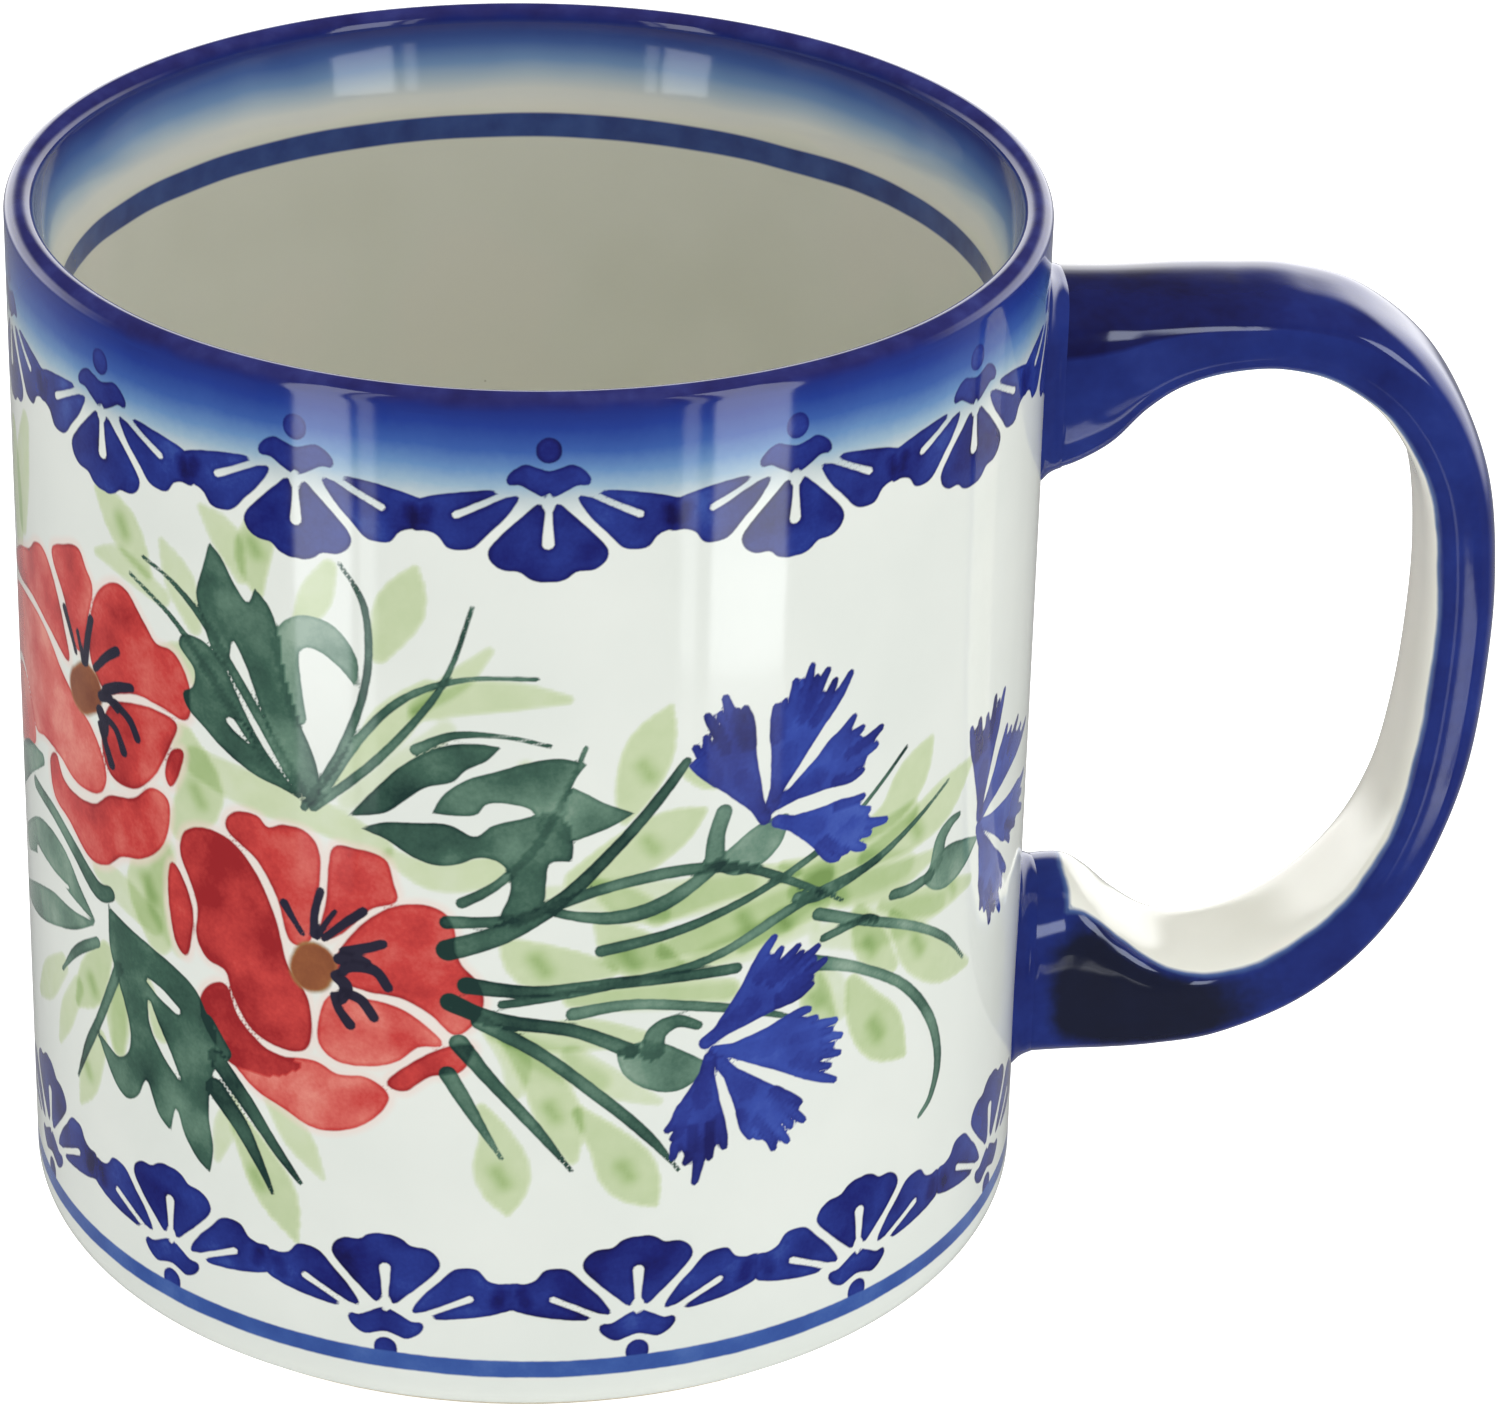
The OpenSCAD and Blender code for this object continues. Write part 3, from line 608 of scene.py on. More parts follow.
def painted_wall(columns, heights):
    rng = np.random.default_rng(7)
    wall = Wall(columns, heights)
    borders(wall, rng)
    bouquet(wall, FRONT_S, rng)
    bouquet(wall, FRONT_S + TURN / 2, rng)
    return wall


# ---------------------------------------------------------------- meshes

COLLECTION = bpy.context.scene.collection
SHARP_EDGE = math.radians(38)


def new_piece(name, points, faces, material, replaces):
    """A smooth-shaded piece from points in mm, which rides on the mug's one body."""
    mesh = bpy.data.meshes.new(name)
    points = np.asarray(points, np.float32) * MM
    mesh.vertices.add(len(points))
    mesh.vertices.foreach_set("co", points.ravel())
    corners = np.concatenate([np.asarray(f, np.int32).ravel() for f in faces])
    counts = np.concatenate([np.full(len(f), np.asarray(f).shape[1], np.int32) for f in faces])
    mesh.loops.add(len(corners))
    mesh.loops.foreach_set("vertex_index", corners)
    mesh.polygons.add(len(counts))
    mesh.polygons.foreach_set("loop_start", np.cumsum(counts) - counts)
    mesh.update(calc_edges=True)
    mesh.validate()
    mesh.shade_smooth()
    mesh.set_sharp_from_angle(angle=SHARP_EDGE)
    piece = bpy.data.objects.new(name, mesh)
    COLLECTION.objects.link(piece)
    mesh.materials.append(material)
    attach(piece, "root")
    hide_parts(*replaces)
    return piece


def add_values(piece, name, values):
    """Stores one number per vertex for the piece's material."""
    layer = piece.data.attributes.new(name, "FLOAT", "POINT")
    layer.data.foreach_set("value", np.asarray(values, np.float32).ravel())


def grid_faces(rows, columns, wrap_rows=False):
    """Quads over a grid of vertices whose columns run all the way round."""
    last = rows if wrap_rows else rows - 1
    j, i = np.meshgrid(np.arange(last), np.arange(columns), indexing="ij")
    up, over = (j + 1) % rows, (i + 1) % columns
    quads = [j * columns + i, j * columns + over, up * columns + over, up * columns + i]
    return np.stack(quads, -1).reshape(-1, 4)


def turned(profile, columns):
    """Points of a profile of (radius, z) turned about Z, from the front towards the handle."""
    profile = np.asarray(profile, float)
    a = 2 * math.pi * np.arange(columns) / columns
    x = profile[:, :1] * np.sin(a)
    y = -profile[:, :1] * np.cos(a)
    z = np.repeat(profile[:, 1:], columns, axis=1)
    return np.stack([x, y, z], -1).reshape(-1, 3)


def closed_coat(outer, inner):
    """A ring-shaped section: out along one line and back along the other."""
    return np.concatenate([outer, inner[::-1]])


WALL_COLUMNS = 900
WALL_ROW = 0.3
TURN_COLUMNS = 360


def wall_line(depth, heights):
    """Outside of the wall under the given depth of glaze: the rounded base, then straight up."""
    start = -math.degrees(math.asin((BASE_ROUND - GLAZE_LINE_Z) / BASE_ROUND))
    base = arc(WALL_R - BASE_ROUND, BASE_ROUND, BASE_ROUND - depth, start, 0, 12)
    straight = np.stack([np.full(len(heights), WALL_R - depth), heights], 1)
    return np.concatenate([base, straight])


def make_outer_glaze(material):
    rows = round((RIM_BAND_Z - BASE_ROUND) / WALL_ROW)
    heights = np.linspace(BASE_ROUND, RIM_BAND_Z, rows + 1)[1:]
    outer = wall_line(0, heights)
    inner = wall_line(GLAZE, heights[-1:])
    section = closed_coat(outer, inner)
    piece = new_piece(
        "painted_glaze_outside",
        turned(section, WALL_COLUMNS),
        [grid_faces(len(section), WALL_COLUMNS, wrap_rows=True)],
        material, ["outer_glaze"],
    )
    wall = painted_wall(WALL_COLUMNS, outer[:, 1])
    hidden = len(section) - len(outer)

    def with_back(layer, value):
        return np.concatenate([layer, np.full((hidden, WALL_COLUMNS), value)])

    for pigment in PIGMENTS:
        add_values(piece, pigment + "_depth", with_back(wall.depth[pigment], -FAR))
        add_values(piece, pigment + "_tone", with_back(wall.tone[pigment], 0))
    add_values(piece, "wash", with_back(wall.wash, 0))
    return piece


def make_rim(material):
    centre_r, centre_z = WALL_R - LIP_R, CUP_H - LIP_R

    def line(depth):
        lip = arc(centre_r, centre_z, LIP_R - depth, 0, 180, 28)
        return np.concatenate([[[WALL_R - depth, RIM_BAND_Z]], lip])

    section = closed_coat(line(0), line(GLAZE))
    return new_piece(
        "rim_glaze_band",
        turned(section, TURN_COLUMNS),
        [grid_faces(len(section), TURN_COLUMNS, wrap_rows=True)],
        material, ["rim_band"],
    )


def make_inner_glaze(material):
    lip_in = WALL_R - 2 * LIP_R
    drop = inside_high.z - TAPER_Z
    widen = lip_in - BORE_R

    def line(depth):
        """From the lip down the bore and across the floor, short of the axis."""
        t = np.linspace(0, 1, 16)
        ease = 1 - t * t * (3 - 2 * t) * 0.45 - t * 0.55
        taper = np.stack([BORE_R + widen * ease + depth, inside_high.z - drop * t], 1)
        straight = [[BORE_R + depth, z] for z in np.linspace(TAPER_Z - 2, FLOOR_Z + FLOOR_ROUND + 2, 20)]
        turn = arc(BORE_R - FLOOR_ROUND, FLOOR_Z + FLOOR_ROUND, FLOOR_ROUND + depth, 0, -90, 16)
        floor = [[r, FLOOR_Z - depth] for r in (26, 20, 14, 8, 3)]
        return np.concatenate([taper, straight, turn, floor])

    upper, lower = line(0), line(GLAZE)
    section = np.concatenate([upper[::-1], lower])
    points = turned(section, TURN_COLUMNS)
    centre_top, centre_low = len(points), len(points) + 1
    points = np.concatenate([points, [[0, 0, FLOOR_Z], [0, 0, FLOOR_Z - GLAZE]]])
    i = np.arange(TURN_COLUMNS)
    over = (i + 1) % TURN_COLUMNS
    last = (len(section) - 1) * TURN_COLUMNS
    top_fan = np.stack([np.full(TURN_COLUMNS, centre_top), over, i], 1)
    low_fan = np.stack([np.full(TURN_COLUMNS, centre_low), last + i, last + over], 1)
    return new_piece(
        "glaze_inside",
        points,
        [grid_faces(len(section), TURN_COLUMNS), top_fan, low_fan],
        material, ["inner_glaze"],
    )


# Side view of the strap from its upper root to its lower one: palm side (x, z), finger side (x, z).
STRAP = [
    (JOINT_R, 82.8, JOINT_R, 67.8), (46.3, 82.8, 45.5, 68.5), (48.6, 82.8, 48, 70.1),
    (51.2, 82.8, 50.6, 73), (54.3, 82.8, 53.4, 75.1), (58.4, 82.7, 57.1, 76.4),
    (63.7, 82.4, 61.7, 76.7), (69.9, 80.5, 66.4, 75.3), (76, 75.2, 70.9, 71.7),
    (80, 66.9, 74.3, 65.4), (81.4, 57, 75.5, 56.9), (81.3, 47.5, 75.4, 48.1),
    (80.5, 39.6, 74.7, 40.8), (78.7, 32.8, 73.5, 34.8), (76, 26.4, 71.1, 29.4),
    (72, 20.7, 67.5, 25), (66.7, 16.2, 63, 21.9), (60, 13.1, 58.6, 20.6),
    (54.4, 12, 54.8, 21.2), (50.4, 11.5, 51.5, 23.5), (47.6, 11.3, 48.9, 26.1),
    (45.3, 11.2, 46.7, 27.6), (JOINT_R, 11.2, JOINT_R, 27.7),
]
STRAP_W = 13.4
ROOT_FLARE_W = 1.2
PALM_ROUND, FINGER_ROUND_MID, FINGER_ROUND_END = 0.62, 0.42, 0.85
FLARE_SPANS, ROUND_SPANS = 3, 6
STRAP_SIDES = 88
STEPS_PER_SPAN = 10
# Where the cobalt on the finger side ends, in stretches of the path from either root.
BARE_FROM, BARE_TO = 4.2, 0.9


def signed_power(values, power):
    return np.sign(values) * np.abs(values) ** power


def strap_section(rail, u, depth, sides):
    """One ring of the strap under the given depth of glaze: its x, y, z, and the side each point is on.

    rail is (palm x, z, finger x, z), and u counts the stretches of the path from the upper root.
    """
    px, pz, fx, fz = rail
    a = 2 * math.pi * (np.arange(sides) + 0.5) / sides
    spans = len(STRAP) - 1
    end_near = min(u, spans - u)
    half_w = (STRAP_W + ROOT_FLARE_W * max(0, 1 - end_near / FLARE_SPANS) ** 2) / 2 - depth
    turn_round = max(0, 1 - (spans - u) / ROUND_SPANS) ** 2
    finger = FINGER_ROUND_MID + (FINGER_ROUND_END - FINGER_ROUND_MID) * turn_round
    power = np.where(np.sin(a) > 0, PALM_ROUND, finger)
    thick = math.hypot(px - fx, pz - fz)
    y = half_w * signed_power(np.cos(a), power)
    n = (thick / 2 - depth) * signed_power(np.sin(a), power)
    x = (px + fx) / 2 + (px - fx) / thick * n
    z = (pz + fz) / 2 + (pz - fz) / thick * n
    if end_near < 1e-6:
        x = np.sqrt(JOINT_R**2 - y**2)
    return np.stack([x, y, z], 1), y / half_w, np.sin(a)


def strap_rings(depth):
    """All rings of the strap, with each point's stretch u, place across and side."""
    ends = np.array([2, 0, 2, 0])
    rails = np.asarray(STRAP, float)
    rails = np.concatenate([[rails[0] - ends], rails, [rails[-1] - ends]])
    path = smooth(rails, steps=STEPS_PER_SPAN)[STEPS_PER_SPAN:-STEPS_PER_SPAN]
    along = np.linspace(0, len(STRAP) - 1, len(path))
    sections = [strap_section(rail, u, depth, STRAP_SIDES) for rail, u in zip(path, along)]
    rings = np.array([s[0] for s in sections])
    across = np.array([s[1] for s in sections])
    return rings, np.repeat(along[:, None], STRAP_SIDES, 1), across, sections[0][2]


def ramp_down(value, start, end):
    """1 below the start, falling to 0 at the end."""
    return np.clip((end - value) / (end - start), 0, 1)


def make_strap(material):
    outer, along, across, side = strap_rings(0)
    inner = strap_rings(GLAZE)[0]
    rows = len(outer)
    points = np.concatenate([outer, inner[::-1]]).reshape(-1, 3)
    piece = new_piece(
        "strap_glaze",
        points,
        [grid_faces(2 * rows, STRAP_SIDES, wrap_rows=True)],
        material, ["handle_glaze"],
    )

    def with_hidden(layer, value):
        return np.concatenate([layer, np.full(layer.shape, value)])

    # The clear-glazed stretch is on the finger side, away from both roots and clear of the edges.
    from_end = len(STRAP) - 1 - along
    margin = 0.6 + 1.1 * ramp_down(from_end, 3, 5.5)
    edge = (1 - np.abs(across)) * STRAP_W / 2 - margin
    from_roots = np.minimum(along - BARE_FROM, from_end - BARE_TO) * 2.2
    depth = np.where(side[None, :] < 0, np.minimum(edge, from_roots), -FAR)
    add_values(piece, "bare_depth", with_hidden(np.clip(depth, -FAR, FAR), -FAR))
    # Cobalt pools to near black on the sides of the lower root, deepened there by a painted dark
    # reflection, and a painted dark reflection darkens the top of the upper root.
    flat_side = ramp_down(np.abs(side[None, :] + 0.05) ** 0.5, 0.5, 0.95)
    low_pool_and_dark_reflection = ramp_down(from_end, 4, 6.6) * (1 - ramp_down(from_end, 0.1, 1.5)) * flat_side
    add_values(piece, "low_pool_and_dark_reflection", with_hidden(low_pool_and_dark_reflection, 0))
    # Painted dark reflection: the palm side near the upper root is darkened where the glaze would mirror a
    # dark ceiling.
    top_dark_reflection = ramp_down(along, 3, 8) * (side[None, :] > 0.3)
    add_values(piece, "top_dark_reflection", with_hidden(top_dark_reflection, 0))
    return piece


# The bead of slip round each root: how far it stands off the wall, and how far outside the strap it is.
BEAD = [
    (-0.3, 0.95), (0.05, 0.9), (0.3, 0.68), (0.55, 0.46), (0.85, 0.28), (1.2, 0.14), (1.6, 0.02),
    (2, -0.3),
]
BEAD_SIDES = 120


def make_slip_joint(name, root, u, material, cad_node):
    rings = []
    for out, wide in BEAD:
        ring = strap_section(root, u, -wide, BEAD_SIDES)[0]
        ring[:, 0] = np.sqrt(WALL_R**2 - ring[:, 1] ** 2) + out
        rings.append(ring)
    points = np.concatenate(rings)
    rows = len(rings)
    first = np.arange(BEAD_SIDES)[None, ::-1]
    last = (np.arange(BEAD_SIDES) + (rows - 1) * BEAD_SIDES)[None, :]
    faces = [grid_faces(rows, BEAD_SIDES), first, last]
    return new_piece(name, points, faces, material, [cad_node])


# ---------------------------------------------------------------- materials


def linear(colour):
    """A colour of 0 to 255 as the renderer counts it."""
    return tuple(
        c / 12.92 if c <= 0.04045 else ((c + 0.055) / 1.055) ** 2.4 for c in (v / 255 for v in colour)
    ) + (1.0,)


class Look:
    """The nodes of a material or of the world, put together one at a time."""

    def __init__(self, owner, coordinates="Object"):
        self.owner = owner
        owner.use_nodes = True
        self.nodes = owner.node_tree.nodes
        self.links = owner.node_tree.links
        self.nodes.clear()
        self.place = self.nodes.new("ShaderNodeTexCoord").outputs[coordinates]

    def put(self, socket, value):
        if isinstance(value, bpy.types.NodeSocket):
            self.links.new(value, socket)
        elif value is not None:
            socket.default_value = value

    def math(self, kind, a, b=None):
        node = self.nodes.new("ShaderNodeMath")
        node.operation = kind
        self.put(node.inputs[0], a)
        self.put(node.inputs[1], b)
        return node.outputs[0]

    def add(self, a, b):
        return self.math("ADD", a, b)

    def times(self, a, b):
        return self.math("MULTIPLY", a, b)

    def step(self, value, low, high):
        """0 below low and 1 above high, with a soft change between."""
        node = self.nodes.new("ShaderNodeMapRange")
        node.interpolation_type = "SMOOTHSTEP"
        self.put(node.inputs["Value"], value)
        self.put(node.inputs["From Min"], low)
        self.put(node.inputs["From Max"], high)
        return node.outputs["Result"]

    def stored(self, name):
        node = self.nodes.new("ShaderNodeAttribute")
        node.attribute_name = name
        return node.outputs["Fac"]

    def axis(self, name):
        """One coordinate of the place being shaded."""
        node = self.nodes.new("ShaderNodeSeparateXYZ")
        self.put(node.inputs[0], self.place)
        return node.outputs[name]

    def height(self):
        """Height above the foot, in mm."""
        return self.times(self.axis("Z"), 1 / MM)

    def noise(self, size, detail=2.0, roughness=0.5):
        """Noise from -0.5 to 0.5 with features of the given size in mm."""
        node = self.nodes.new("ShaderNodeTexNoise")
        self.put(node.inputs["Vector"], self.place)
        node.inputs["Scale"].default_value = 1 / (size * MM)
        node.inputs["Detail"].default_value = detail
        node.inputs["Roughness"].default_value = roughness
        return self.math("SUBTRACT", node.outputs[0], 0.5)

    def cells(self, size):
        """Distance to the nearest of a scatter of points, in cell widths, and a random value for each."""
        node = self.nodes.new("ShaderNodeTexVoronoi")
        self.put(node.inputs["Vector"], self.place)
        node.inputs["Scale"].default_value = 1 / (size * MM)
        return node.outputs["Distance"], node.outputs["Color"]

    def ramp(self, value, stops):
        """Colours of 0 to 255 along a value from 0 to 1."""
        node = self.nodes.new("ShaderNodeValToRGB")
        self.put(node.inputs[0], value)
        band = node.color_ramp.elements
        while len(band) < len(stops):
            band.new(0.5)
        for element, (at, colour) in zip(band, stops):
            element.position = at
            element.color = linear(colour)
        return node.outputs[0]

    def blend(self, share, a, b, kind="MIX"):
        node = self.nodes.new("ShaderNodeMix")
        node.data_type = "RGBA"
        node.blend_type = kind
        node.clamp_factor = True
        self.put(node.inputs[0], share)
        self.put(node.inputs[6], a)
        self.put(node.inputs[7], b)
        return node.outputs[2]

    def bump(self, value, distance):
        """Raises the surface by the value, times a distance in mm."""
        node = self.nodes.new("ShaderNodeBump")
        node.inputs["Strength"].default_value = 1.0
        node.inputs["Distance"].default_value = distance * MM
        self.put(node.inputs["Height"], value)
        return node.outputs[0]

    def show(self, shader, output="ShaderNodeOutputMaterial"):
        """Joins the last shader to the output."""
        self.links.new(shader.outputs[0], self.nodes.new(output).inputs["Surface"])

    def finish(self, colour, roughness, normal=None):
        shader = self.nodes.new("ShaderNodeBsdfPrincipled")
        self.put(shader.inputs["Base Color"], colour)
        self.put(shader.inputs["Roughness"], roughness)
        self.put(shader.inputs["Normal"], normal)
        shader.inputs["IOR"].default_value = GLAZE_IOR
        self.show(shader)
        return self.owner

    def glow(self, colour, strength):
        shader = self.nodes.new("ShaderNodeEmission")
        shader.inputs["Color"].default_value = (*colour, 1)
        self.put(shader.inputs["Strength"], strength)
        self.show(shader)
        return self.owner


def new_look(name):
    return Look(bpy.data.materials.new(name))


GLAZE_ROUGHNESS, GLAZE_IOR = 0.07, 1.5
WHITE_STOPS = [(0.3, (233, 237, 230)), (0.7, (227, 232, 225))]
FADE_Z = (80.0, 92.0)
FADE_STOPS = [
    (0, (234, 238, 231)), (0.14, (224, 230, 225)), (0.27, (190, 203, 206)), (0.35, (152, 180, 200)),
    (0.46, (104, 142, 188)), (0.6, (60, 94, 165)), (0.76, (38, 62, 142)), (0.9, (34, 46, 120)),
    (0.98, (32, 30, 88)),
]
LINE_Z, LINE_HALF = 4.95, 0.8
LINE_STOPS = [(0.2, (84, 114, 178)), (0.5, (62, 92, 162)), (0.85, (48, 72, 144))]
WASH_STOPS = [
    (0, (255, 255, 255)), (0.35, (227, 236, 202)), (0.6, (198, 216, 165)), (0.8, (168, 194, 132)),
    (1, (136, 166, 100)),
]
# For each pigment: how far its edge wanders, how soft the edge is, how much the tone varies and
# darkens at the edge, and its colours from thin to thick.
PAINTS = {
    "red": (0.1, 0.12, 1.6, 0.3, [
        (0.0, (230, 144, 130)), (0.3, (216, 106, 97)), (0.6, (201, 69, 66)), (1.0, (156, 40, 44))]),
    "leaf": (0.1, 0.1, 1.2, 0.2, [
        (0.0, (150, 174, 156)), (0.35, (104, 136, 118)), (0.65, (66, 98, 84)), (1.0, (34, 58, 54))]),
    "cornflower": (0.12, 0.1, 0.8, 0.15, [
        (0.0, (86, 112, 192)), (0.4, (58, 78, 164)), (0.7, (44, 54, 132)), (1.0, (32, 34, 94))]),
    "centre": (0.2, 0.25, 1.0, -0.3, [
        (0.0, (160, 132, 84)), (0.35, (150, 92, 60)), (0.7, (118, 64, 46)), (1.0, (80, 44, 36))]),
    "stamen": (0.12, 0.1, 0.5, 0.0, [(0.0, (64, 64, 84)), (0.6, (44, 42, 58)), (1.0, (30, 28, 44))]),
    "cobalt": (0.1, 0.1, 1.3, 0.24, [
        (0.0, (66, 92, 168)), (0.35, (42, 58, 138)), (0.7, (30, 36, 110)), (1.0, (24, 22, 74))]),
}


def glaze_surface(look):
    """The slight unevenness of a fired glaze."""
    ripple = look.add(look.noise(9, 1.0), look.times(look.noise(1.6, 2.0), 0.12))
    return look.bump(ripple, 0.03)


def specks(look, colour, amount=1.0):
    """Iron specks in the glaze."""
    distance, chance = look.cells(5.5)
    size = look.times(look.math("SUBTRACT", chance, 0.55), 0.07)
    inside = look.math("SUBTRACT", size, distance)
    share = look.times(look.step(inside, -0.012, 0.012), 0.45 * amount)
    return look.blend(share, colour, linear((150, 138, 116)))


def painted_glaze():
    look = new_look("painted_glaze")
    z = look.height()
    cloud = look.noise(14, 2.0)
    colour = look.ramp(look.add(cloud, 0.5), WHITE_STOPS)
    colour = specks(look, colour)

    wandering = look.add(z, look.times(look.noise(12, 2.0), 1.6))
    low, high = FADE_Z
    fade = look.times(look.add(wandering, -low), 1 / (high - low))
    fade = look.add(fade, look.times(look.noise(0.7, 2.0), 0.03))
    colour = look.blend(1.0, colour, look.ramp(fade, FADE_STOPS), "DARKEN")

    wet = look.add(look.stored("wash"), look.times(look.noise(2.2, 3.0), 0.25))
    wet = look.times(wet, look.step(look.stored("wash"), 0.02, 0.25))
    colour = look.blend(1.0, colour, look.ramp(look.times(wet, 0.74), WASH_STOPS), "MULTIPLY")

    red = look.stored("red_depth")
    pink = look.times(look.step(red, -0.9, -0.1), 0.55)
    colour = look.blend(pink, colour, linear((240, 216, 206)))

    wobble = look.add(look.noise(0.9, 2.0), look.times(look.noise(3.5, 1.0), 0.8))
    pool = look.add(look.noise(4.5, 3.0, 0.45), look.times(look.noise(0.35, 1.0), 0.14))
    for pigment, (wander, soft, vary, edge_dark, stops) in PAINTS.items():
        depth = look.add(look.stored(pigment + "_depth"), look.times(wobble, wander))
        tone = look.add(look.stored(pigment + "_tone"), look.times(pool, vary))
        if pigment == "leaf":
            tone = look.add(tone, look.times(look.step(red, -0.1, 0.3), 0.4))
        rim = look.times(look.step(depth, 0.45, 0.0), edge_dark)
        colour = look.blend(look.step(depth, -soft, soft), colour, look.ramp(look.add(tone, rim), stops))

    off = look.math("ABSOLUTE", look.add(z, look.add(look.times(cloud, 0.3), -LINE_Z)))
    inside = look.math("SUBTRACT", LINE_HALF, off)
    line = look.step(look.add(inside, look.times(wobble, 0.08)), -0.12, 0.12)
    colour = look.blend(line, colour, look.ramp(look.add(pool, 0.5), LINE_STOPS))
    return look.finish(colour, GLAZE_ROUGHNESS, glaze_surface(look))


INSIDE_STOPS = [(0.3, (229, 229, 216)), (0.7, (221, 221, 206))]
INSIDE_FADE_Z = (82.8, 91.2)
INSIDE_FADE_STOPS = [
    (0, (228, 226, 213)), (0.2, (214, 216, 208)), (0.34, (174, 190, 200)), (0.5, (116, 147, 186)),
    (0.68, (72, 100, 160)), (0.85, (50, 62, 128)), (0.97, (40, 40, 100)),
]
RING_Z, RING_HALF = 81.3, 1.1


def inside_glaze():
    look = new_look("inside_glaze")
    z = look.height()
    cloud = look.noise(18, 2.0)
    colour = look.ramp(look.add(cloud, 0.5), INSIDE_STOPS)
    colour = specks(look, colour, 1.3)
    wandering = look.add(z, look.times(look.noise(14, 2.0), 1.8))
    low, high = INSIDE_FADE_Z
    fade = look.times(look.add(wandering, -low), 1 / (high - low))
    colour = look.blend(1.0, colour, look.ramp(fade, INSIDE_FADE_STOPS), "DARKEN")
    off = look.math("ABSOLUTE", look.add(z, look.add(look.times(cloud, 0.7), -RING_Z)))
    ring = look.step(look.math("SUBTRACT", RING_HALF, off), -0.14, 0.14)
    pool = look.add(look.noise(3.0, 3.0), 0.5)
    colour = look.blend(ring, colour, look.ramp(pool, [(0.2, (56, 84, 150)), (0.8, (34, 52, 118))]))
    return look.finish(colour, GLAZE_ROUGHNESS, glaze_surface(look))


def rim_glaze():
    """Violet-cobalt over the lip. The outside's fade runs on into its lower edge."""
    look = new_look("rim_glaze")
    pool = look.add(look.noise(2.5, 3.0), 0.5)
    lip = look.ramp(pool, [(0.2, (56, 61, 122)), (0.5, (44, 45, 103)), (0.85, (34, 31, 80))])
    z = look.height()
    low, high = FADE_Z
    fade = look.ramp(look.times(look.add(z, -low), 1 / (high - low)), FADE_STOPS)
    colour = look.blend(look.step(look.add(z, look.noise(3.0)), 90.2, 91.3), fade, lip)
    return look.finish(colour, GLAZE_ROUGHNESS, glaze_surface(look))


COBALT_STOPS = [
    (0.1, (50, 68, 142)), (0.35, (38, 52, 122)), (0.6, (31, 38, 98)), (0.9, (26, 24, 60)),
]


def strap_glaze(name, shaped):
    """Cobalt glaze. On the strap itself it pools, with painted dark reflections near the roots, and leaves
    the finger side clear, its clear glaze lightened as painted light.
    """
    look = new_look(name)
    streak = look.add(look.noise(6, 3.0, 0.55), look.times(look.noise(0.8, 1.0), 0.2))
    thick = look.add(look.times(streak, 0.55), 0.42)
    if shaped:
        # Painted dark reflection on the top of the strap near the upper root.
        thick = look.add(thick, look.times(look.stored("top_dark_reflection"), 0.4))
    colour = look.ramp(thick, COBALT_STOPS)
    if shaped:
        # Pooled cobalt near the lower root, darkened further as a painted dark reflection.
        black = look.step(look.add(look.stored("low_pool_and_dark_reflection"), look.times(streak, 0.6)), 0.1, 0.65)
        colour = look.blend(look.times(black, 0.9), colour, linear((30, 32, 38)))
        # Painted light: the clear glaze on the finger side is lighter than the wall's white, to make up
        # for the light the inner side of the strap lacks.
        lightened_cream = look.ramp(look.add(look.noise(9), 0.5), [(0.2, (247, 247, 237)), (0.8, (241, 241, 229))])
        depth = look.add(look.stored("bare_depth"), look.times(look.noise(5, 2.0), 0.6))
        pale = look.blend(look.step(depth, -0.35, 0.1), colour, linear((84, 110, 160)))
        colour = look.blend(look.step(depth, -0.05, 0.35), pale, lightened_cream)
    return look.finish(colour, GLAZE_ROUGHNESS, glaze_surface(look))


def bare_clay(name):
    look = new_look(name)
    grain = look.add(look.noise(0.5, 3.0), look.times(look.noise(3, 2.0), 0.6))
    colour = look.ramp(look.add(grain, 0.5), [(0.2, (222, 216, 200)), (0.8, (204, 197, 178))])
    return look.finish(colour, 0.8, look.bump(grain, 0.06))


def underside_glaze():
    look = new_look("underside_glaze")
    colour = look.ramp(look.add(look.noise(16), 0.5), INSIDE_STOPS)
    return look.finish(specks(look, colour), GLAZE_ROUGHNESS, glaze_surface(look))


# ---------------------------------------------------------------- the mug

wall = make_outer_glaze(painted_glaze())
inside = make_inner_glaze(inside_glaze())
lip = make_rim(rim_glaze())
slip = strap_glaze("slip_glaze", False)
strap = make_strap(strap_glaze("strap_glaze", True))
upper_bead = make_slip_joint("upper_slip_bead", STRAP[0], 0, slip, "upper_slip_joint")
lower_bead = make_slip_joint("lower_slip_bead", STRAP[-1], len(STRAP) - 1, slip, "lower_slip_joint")


def refinish(node, material):
    """Gives a CAD node that stays in view its material."""
    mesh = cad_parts[node].data
    mesh.materials.clear()
    mesh.materials.append(material)
    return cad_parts[node]


refinish("cup_body", bare_clay("bare_stoneware"))
refinish("handle", bare_clay("handle_clay"))
refinish("base_glaze", underside_glaze())

# ---------------------------------------------------------------- stage, lights and camera


def from_view(place):
    """A place set out for the viewer in front, turned about Z to where it belongs."""
    return Quaternion((0, 0, 1), VIEW_TURN) @ Vector(place)


def sheet(name, low, high, upright=False):
    """A flat rectangle between two corners in mm, which lies flat or stands upright along X."""
    mesh = bpy.data.meshes.new(name)
    corners = [(low[0], low[1]), (high[0], low[1]), (high[0], high[1]), (low[0], high[1])]
    points = [(a * MM, 0, b * MM) if upright else (a * MM, b * MM, 0) for a, b in corners]
    mesh.from_pydata(points, [], [(0, 1, 2, 3)])
    flat = bpy.data.objects.new(name, mesh)
    COLLECTION.objects.link(flat)
    return flat


